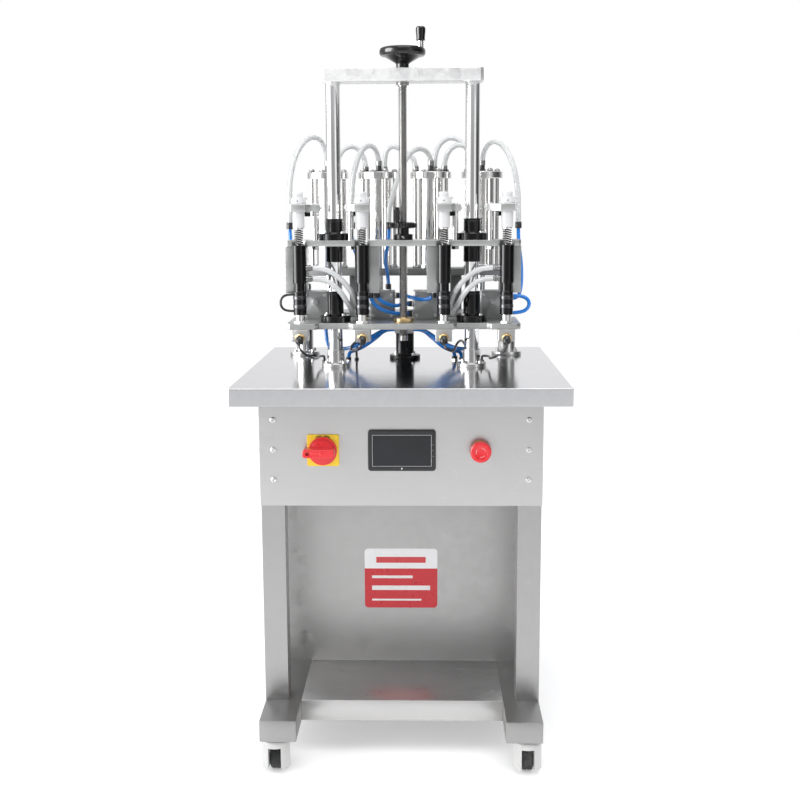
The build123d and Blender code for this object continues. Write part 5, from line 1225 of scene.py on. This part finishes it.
for x in CYLINDER_XS:
    axis = (x, CYLINDER_Y, 0)
    lathe(cylinders, ring_profile(TUBE_OUT, 25 * MM, TUBE_LOW, TUBE_HIGH), axis, 0, 72, True)
    lathe(cylinders, ring_profile(31 * MM, TUBE_OUT, TUBE_LOW, TUBE_LOW + 8 * MM, 0.6 * MM), axis,
          1, 72, True)
    lathe(cylinders, [
        (4 * MM, TUBE_HIGH), (CAP_OUT - 1 * MM, TUBE_HIGH), (CAP_OUT, TUBE_HIGH + 1 * MM),
        (CAP_OUT, CAP_HIGH - 1.2 * MM), (CAP_OUT - 1.2 * MM, CAP_HIGH), (4 * MM, CAP_HIGH),
    ], axis, 1, 96, True)
    for i in range(4):
        a = math.radians(25 + 90 * i)
        tx, ty = x + TIE_CIRCLE * math.cos(a), CYLINDER_Y + TIE_CIRCLE * math.sin(a)
        lathe(cylinders, rod_profile(4 * MM, TUBE_LOW, CAP_HIGH + 7 * MM, 0.6 * MM), (tx, ty, 0), 2, 24)
        tie_spots += [((tx, ty, TUBE_LOW), UP), ((tx, ty, CAP_HIGH), UP)]
    lathe(cylinders, [
        (3 * MM, CAP_HIGH), (8 * MM, CAP_HIGH), (8 * MM, CAP_HIGH + 5 * MM), (6 * MM, CAP_HIGH + 6 * MM),
        (6 * MM, NIPPLE_HIGH), (3 * MM, NIPPLE_HIGH),
    ], axis, 3, 32, True)
settle(cylinders, "polished_cylinders", "root", [polished, cap_steel, tie_steel, nipple_black],
       ["metering_cylinders"])
heads("tie_nuts", tie_spots, "root", 6.35 * MM, 5.2 * MM, 3.9 * MM, tie_steel, taper=0.92, sides=6,
      bore_sides=24, deep=0.9)
piston_steel = metal("ground piston steel", (0.70, 0.70, 0.69), TURNED, 0.08, 0.12, 0.01)
finish(["metering_pistons"], piston_steel)
stand_grey = metal("dark anodised stand", (0.24, 0.245, 0.24), ACROSS, 0.14, 0.4, 0.06)
refined("rear_stand", "root", stand_grey, 0.6 * MM)
refined("piston_crosshead", "pistons", plate_grey, 0.6 * MM)

# ---- hoses, air tubes and cables -----------------------------------------------------------------
# Clear silicone hose for the product, blue polyurethane tube for the air and thin black cable for
# the sensors. Each is cut to its length and pushed on a barb or into a fitting at both ends.
silicone, tree, shader, position = new_material("clear silicone")
haze = add(tree, "ShaderNodeTexNoise", {"Vector": position, "Scale": 18.0, "Detail": 2.0}).outputs[0]
haze_tone = add(tree, "ShaderNodeValToRGB", {0: haze})
haze_tone.color_ramp.elements[0].color = (0.80, 0.82, 0.82, 1)
haze_tone.color_ramp.elements[1].color = (0.90, 0.91, 0.91, 1)
haze_rough = add(tree, "ShaderNodeMapRange", {0: haze, 3: 0.18, 4: 0.34}).outputs[0]
haze_bump = add(tree, "ShaderNodeBump", {"Strength": 0.02, "Distance": 0.001, "Height": haze})
tree.links.new(haze_tone.outputs[0], shader.inputs["Base Color"])
tree.links.new(haze_rough, shader.inputs["Roughness"])
tree.links.new(haze_bump.outputs[0], shader.inputs["Normal"])
shader.inputs["Transmission Weight"].default_value = 0.35
shader.inputs["IOR"].default_value = 1.41
shader.inputs["Coat Weight"].default_value = 0.3
blue_pu = moulded("blue polyurethane", (0.015, 0.25, 0.84), 0.18, 240, 0.03, 0.02, 0.45)
cable_pvc = moulded("black cable sheath", (0.012, 0.012, 0.013), 0.32, 800, 0.08, 0.04, 0.1)
cuff_grey = metal("crimped cuff", (0.26, 0.26, 0.26), (700, 700, 700), 0.25, 0.3, 0.05)

NIPPLE_TOP = 1163
CONNECTOR_Y = 56
CONNECTOR_TOP = 1040
CONNECTOR_BOTTOM = 1026
CAP_TOP = 1149
BLOCK_BOTTOM = 896
PLATE_BOTTOM = 822
TABLE = 740
CLEAR_ROUTES = (
    ((-172, 190, NIPPLE_TOP), (-172, 190, 1186), (-184, 160, 1220), (-201, 128, 1224), (-219, 96, 1208),
     (-234, 72, 1174), (-242, 60, 1130), (-244, 56, 1085), (-244, CONNECTOR_Y, CONNECTOR_TOP)),
    ((-58, 190, NIPPLE_TOP), (-58, 190, 1180), (-66, 162, 1202), (-78, 128, 1205), (-91, 98, 1193),
     (-102, 74, 1164), (-109, 60, 1125), (-111, 56, 1082), (-111, CONNECTOR_Y, CONNECTOR_TOP)),
    ((58, 190, NIPPLE_TOP), (58, 190, 1182), (43, 170, 1199), (22, 145, 1197), (4, 118, 1176),
     (-9, 95, 1147), (-20, 74, 1112), (-30, 60, 1075), (-32, CONNECTOR_Y, 1056),
     (-32, CONNECTOR_Y, CONNECTOR_TOP)),
    ((172, 190, NIPPLE_TOP), (172, 190, 1184), (184, 162, 1210), (201, 128, 1212), (218, 96, 1195),
     (233, 72, 1162), (241, 60, 1120), (244, 56, 1080), (244, CONNECTOR_Y, CONNECTOR_TOP)),
)
BRIDGE_ROUTES = (
    ((-88, 204, CAP_TOP), (-88, 204, 1172), (-98, 202, 1194), (-112, 198, 1206), (-128, 192, 1205),
     (-142, 186, 1193), (-150, 180, 1172), (-150, 180, CAP_TOP)),
    ((-46, 214, CAP_TOP), (-46, 214, 1176), (-42, 213, 1198), (-28, 211, 1208), (-10, 208, 1201),
     (8, 203, 1188), (24, 198, 1174), (24, 198, CAP_TOP)),
    ((66, 214, CAP_TOP), (66, 214, 1180), (74, 217, 1207), (94, 220, 1225), (118, 218, 1223),
     (137, 211, 1204), (146, 204, 1180), (146, 204, CAP_TOP)),
    ((88, 182, CAP_TOP), (88, 182, 1172), (98, 176, 1195), (114, 170, 1207), (132, 165, 1205),
     (149, 162, 1192), (160, 160, 1172), (160, 160, CAP_TOP)),
)
BARB_END = -185
BARB_ROUTES = (
    ((BARB_END, -55, 948), (-165, -55, 948), (-141, -56, 937), (-119, -54, 917), (-104, -42, 893),
     (-100, -17, 874), (-100, 11, 863), (-100, 40, 862), (-94, 64, 868), (-74, 64, 868)),
    ((BARB_END, -55, 926), (-167, -55, 926), (-147, -58, 917), (-128, -56, 899), (-116, -44, 877),
     (-109, -20, 861), (-108, 8, 851), (-108, 33, 846), (-98, 53, 845), (-74, 53, 845)),
)
CARRIAGE_AIR = (
    ((-244, CONNECTOR_Y, CONNECTOR_BOTTOM), (-244, CONNECTOR_Y, 1000), (-232, 62, 952), (-208, 68, 922),
     (-208, 68, 894)),
    ((-111, CONNECTOR_Y, CONNECTOR_BOTTOM), (-111, CONNECTOR_Y, 1000), (-98, 62, 955), (-66, 68, 925),
     (-66, 68, 894)),
    ((-32, CONNECTOR_Y, CONNECTOR_BOTTOM), (-32, CONNECTOR_Y, 1002), (-42, 57, 960), (-34, 64, 926),
     (-34, 64, 894)),
    ((244, CONNECTOR_Y, CONNECTOR_BOTTOM), (244, CONNECTOR_Y, 1000), (251, 58, 955), (253, 64, 915),
     (250, 72, 885), (240, 80, 874), (217, 80, 874)),
    ((217, 50, 846), (240, 50, 846), (262, 48, 851), (270, 47, 866), (262, 48, 880), (240, 50, 884),
     (217, 50, 884)),
)
HEAD_AIR = (
    ((-70, 0, BLOCK_BOTTOM), (-70, 0, 880), (-56, 9, 861), (-31, 21, 850), (-3, 33, 846), (6, 54, 846),
     (20, 54, 846)),
    ((-56, 2, BLOCK_BOTTOM), (-56, 2, 884), (-40, 14, 870), (-19, 27, 863), (-1, 40, 866), (8, 56, 866),
     (20, 56, 866)),
    ((64, 0, BLOCK_BOTTOM), (64, 0, 886), (46, 9, 877), (22, 21, 880), (2, 34, 885), (-6, 54, 884),
     (-20, 54, 884)),
)
CLIP = 20
HANGING_AIR = (
    ((-CLIP, 39, 812), (-42, 39, 812), (-67, 12, 800), (-92, 2, 786), (-117, 14, 774), (-138, 40, 770),
     (-140, 62, 762), (-140, 62, TABLE)),
    ((-CLIP, 48, 812), (-40, 48, 812), (-61, 29, 794), (-84, 24, 778), (-107, 40, 766), (-122, 66, 760),
     (-122, 66, TABLE)),
    ((CLIP, 39, 812), (42, 39, 812), (66, 10, 798), (90, -4, 784), (114, 8, 774), (136, 36, 770),
     (140, 60, 762), (140, 60, TABLE)),
    ((CLIP, 48, 812), (40, 48, 812), (63, 28, 792), (87, 22, 776), (110, 38, 766), (125, 64, 760),
     (125, 64, TABLE)),
    ((CLIP, 57, 812), (40, 57, 812), (62, 48, 792), (82, 46, 774), (100, 62, 764), (110, 84, 760),
     (110, 84, TABLE)),
    ((-168, 34, PLATE_BOTTOM), (-168, 34, 804), (-164, 32, 784), (-160, 46, 770), (-156, 72, 760),
     (-156, 72, TABLE)),
)
SENSOR_CABLES = (
    ((-213, -83.8, 796), (-213, -94.2, 790), (-204, -98, 777), (-190, -86, 768), (-181, -64, 762),
     (-180, -38, 759), (-182, -8, 758), (-180, 20, 757), (-174, 46, 754), (-174, 58, 751),
     (-174, 58, TABLE)),
    ((-84, -83.8, 796), (-84, -94.2, 790), (-95, -97, 782), (-106, -80, 780), (-108, -56, 784),
     (-106, -28, 788), (-101, 24, 788), (-102, 62, 776), (-106, 88, 760), (-106, 96, 752),
     (-106, 96, TABLE)),
    ((84, -83.8, 796), (84, -94.2, 790), (95, -97, 782), (106, -80, 780), (109, -56, 786), (114, -28, 792),
     (124, 30, 790), (132, 66, 776), (136, 84, 760), (136, 92, 752), (136, 92, TABLE)),
    ((213, -83.8, 796), (213, -94.2, 790), (204, -98, 777), (190, -86, 768), (181, -64, 762),
     (180, -38, 759), (182, -8, 758), (180, 20, 757), (170, 46, 754), (168, 58, 751), (168, 58, TABLE)),
)
PILOT_LINE = (
    (-226.5, -55, 894), (-239, -55, 894), (-250, -55, 889), (-254, -55, 877), (-250, -55, 865),
     (-239, -55, 860), (-226.5, -55, 860),
)


def smooth_line(route):
    """The NURBS line that a hose follows, as a list of points in metres."""
    curve = bpy.data.curves.new("route", "CURVE")
    curve.dimensions = "3D"
    curve.resolution_u = 10
    spline = curve.splines.new("NURBS")
    spline.points.add(len(route) - 1)
    for point, place in zip(spline.points, route):
        point.co = (*(value * MM for value in place), 1)
    spline.order_u = 3
    spline.use_endpoint_u = True
    holder = bpy.data.objects.new("route", curve)
    scene.collection.objects.link(holder)
    bpy.context.view_layer.update()
    shape = holder.evaluated_get(bpy.context.evaluated_depsgraph_get())
    mesh = bpy.data.meshes.new_from_object(shape)
    line = [v.co.copy() for v in mesh.vertices]
    bpy.data.objects.remove(holder)
    bpy.data.meshes.remove(mesh)
    return line


def tube_mesh(line, radius, bore):
    """A round tube along a line, with a bore where bore is not zero."""
    sides = 20
    bm = bmesh.new()
    tangents = [(b - a).normalized() for a, b in zip(line, line[1:])]
    tangents = [tangents[0]] + [(a + b).normalized() for a, b in zip(tangents, tangents[1:])] + [tangents[-1]]
    side_way = tangents[0].orthogonal().normalized()
    layers = []
    for place, along in zip(line, tangents):
        side_way = (side_way - along * side_way.dot(along)).normalized()
        up_way = along.cross(side_way)
        angles = [2 * math.pi * i / sides for i in range(sides)]
        spokes = [side_way * math.cos(a) + up_way * math.sin(a) for a in angles]
        outer = [bm.verts.new(place + s * radius) for s in spokes]
        inner = [bm.verts.new(place + s * bore) for s in spokes] if bore else None
        layers.append((outer, inner))
    for (out_a, in_a), (out_b, in_b) in zip(layers, layers[1:]):
        for i in range(sides):
            j = (i + 1) % sides
            bm.faces.new([out_a[i], out_a[j], out_b[j], out_b[i]])
            if bore:
                bm.faces.new([in_a[j], in_a[i], in_b[i], in_b[j]])
    for end, reverse in ((layers[0], True), (layers[-1], False)):
        outer, inner = end
        if bore:
            for i in range(sides):
                j = (i + 1) % sides
                ring_face = [outer[i], outer[j], inner[j], inner[i]]
                bm.faces.new(list(reversed(ring_face)) if not reverse else ring_face)
        else:
            bm.faces.new(list(reversed(outer)) if reverse else outer)
    return bm


def run_line(name, route, radius, bore, material, body, moving=None, nodes=()):
    """One hose, tube or cable. moving names the second body it runs to; when given, the piece is attached to
    no body and stays fixed in place.
    """
    line = smooth_line(route)
    bm = tube_mesh(line, radius, bore)
    bmesh.ops.recalc_face_normals(bm, faces=bm.faces)
    for face in bm.faces:
        face.smooth = True
    for edge_line in bm.edges:
        edge_line.smooth = edge_line.calc_face_angle(0) < 0.8
    mesh = bpy.data.meshes.new(name)
    bm.to_mesh(mesh)
    bm.free()
    mesh.materials.append(material)
    piece = bpy.data.objects.new(name, mesh)
    scene.collection.objects.link(piece)
    if moving:
        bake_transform(piece)
    else:
        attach(piece, body)
    if nodes:
        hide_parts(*nodes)


HOSE_R = 5.5 * MM
HOSE_BORE = 3.6 * MM
AIR_R = 4 * MM
CABLE_R = 2.5 * MM
for number, route in enumerate(CLEAR_ROUTES, 1):
    run_line(f"clear_hose_{number}", route, HOSE_R, HOSE_BORE, silicone, "root", "carriage",
             ["product_hoses"] if number == 1 else ())
for number, route in enumerate(BRIDGE_ROUTES, 1):
    run_line(f"bridge_hose_{number}", route, HOSE_R, HOSE_BORE, silicone, "root")
for side in (1, -1):
    for number, route in enumerate(BARB_ROUTES, 1):
        placed = [(side * x, y, z) for x, y, z in route]
        first = side == 1 and number == 1
        run_line(f"barb_hose_{number if side == 1 else number + 2}", placed, HOSE_R, HOSE_BORE, silicone,
                 "head", "carriage", ["nozzle_hoses"] if first else ())
for number, route in enumerate(CARRIAGE_AIR, 1):
    run_line(f"air_tube_{number}", route, AIR_R, 0, blue_pu, "carriage",
             nodes=["air_tubes"] if number == 1 else ())
for number, route in enumerate(HEAD_AIR, 6):
    run_line(f"air_tube_{number}", route, AIR_R, 0, blue_pu, "head", "carriage")
for number, route in enumerate(HANGING_AIR, 9):
    run_line(f"air_tube_{number}", route, AIR_R, 0, blue_pu, "carriage", "root")
for number, route in enumerate(SENSOR_CABLES, 1):
    run_line(f"sensor_cable_{number}", route, CABLE_R, 0, cable_pvc, "carriage", "root",
             ["sensor_cables"] if number == 1 else ())
run_line("pilot_line", PILOT_LINE, CABLE_R, 0, cable_pvc, "carriage")

# ---- fittings on the hoses and tubes -------------------------------------------------------------
# Crimped cuffs on the hose ends, black straight connectors between hose and air tube, and black
# push-in fittings with a bright thread where a tube enters a block or the table.


def fitting(bm, place, axis, radius, long):
    """Push-in fitting: a bright hexagon, a black body and a release ring."""
    along = facing_axis(Vector(place) * MM, axis)
    lathe(bm, ring_profile(radius + 3 * MM, radius, 0, 3.2 * MM, 0.5 * MM), along, 1, 6, True)
    lathe(bm, [
        (radius, 3.2 * MM), (radius + 2.2 * MM, 3.2 * MM), (radius + 2.2 * MM, long - 3 * MM),
        (radius + 1.4 * MM, long - 2.2 * MM), (radius + 1.4 * MM, long - 1.4 * MM),
        (radius + 2.4 * MM, long - 1.2 * MM), (radius + 2.4 * MM, long), (radius, long),
    ], along, 0, 32, True)


fitting_black = moulded("fitting black", (0.016, 0.016, 0.018), 0.32, 600, 0.06, 0.05, 0.15)
fittings = bmesh.new()
for route in CARRIAGE_AIR[:4]:
    fitting(fittings, route[-1], Vector(route[-2]) - Vector(route[-1]), AIR_R, 14 * MM)
for here, beyond in ((CARRIAGE_AIR[4][0], CARRIAGE_AIR[4][1]), (CARRIAGE_AIR[4][-1], CARRIAGE_AIR[4][-2])):
    fitting(fittings, here, Vector(beyond) - Vector(here), AIR_R, 13 * MM)
for route in HEAD_AIR:
    fitting(fittings, route[-1], Vector(route[-2]) - Vector(route[-1]), AIR_R, 12 * MM)
for side in (1, -1):
    for route in BARB_ROUTES:
        x, y, z = route[-1]
        fitting(fittings, (side * x, y, z), (-side, 0, 0), HOSE_R, 11 * MM)
for route in CLEAR_ROUTES:
    x = route[-1][0] * MM
    lathe(fittings, mm(
        (2, CONNECTOR_BOTTOM), (6.2, CONNECTOR_BOTTOM), (7, CONNECTOR_BOTTOM + 1), (7, CONNECTOR_TOP - 6),
        (6.6, CONNECTOR_TOP - 5), (7, CONNECTOR_TOP - 4), (7, CONNECTOR_TOP - 1), (6.2, CONNECTOR_TOP),
        (2, CONNECTOR_TOP),
    ), (x, CONNECTOR_Y * MM, 0), 0, 32, True)
settle(fittings, "carriage_fittings", "carriage", [fitting_black, foot_steel])
head_fittings = bmesh.new()
for route in HEAD_AIR:
    fitting(head_fittings, route[0], (0, 0, -1), AIR_R, 13 * MM)
settle(head_fittings, "head_fittings", "head", [fitting_black, foot_steel])
table_fittings = bmesh.new()
for route in HANGING_AIR:
    fitting(table_fittings, route[-1], (0, 0, 1), AIR_R, 9 * MM)
for route in SENSOR_CABLES:
    x, y, z = (value * MM for value in route[-1])
    lathe(table_fittings, ring_profile(5 * MM, CABLE_R, z, z + 4 * MM, 0.8 * MM), (x, y, 0), 0, 24, True)
settle(table_fittings, "table_grommets", "root", [fitting_black, foot_steel])
cuffs = bmesh.new()
for route in CLEAR_ROUTES:
    x, y, z = (value * MM for value in route[0])
    lathe(cuffs, ring_profile(6.9 * MM, HOSE_R, z, z + 11 * MM, 0.6 * MM), (x, y, 0), 0, 32, True)
for route in BRIDGE_ROUTES:
    for end in (route[0], route[-1]):
        x, y, z = (value * MM for value in end)
        lathe(cuffs, ring_profile(7.4 * MM, HOSE_R, z, z + 5 * MM, 0.5 * MM), (x, y, 0), 1, 32, True)
        lathe(cuffs, ring_profile(6.8 * MM, HOSE_R, z + 5 * MM, z + 13 * MM, 0.6 * MM), (x, y, 0), 0, 32,
              True)
settle(cuffs, "hose_cuffs", "root", [cuff_grey, nipple_black])
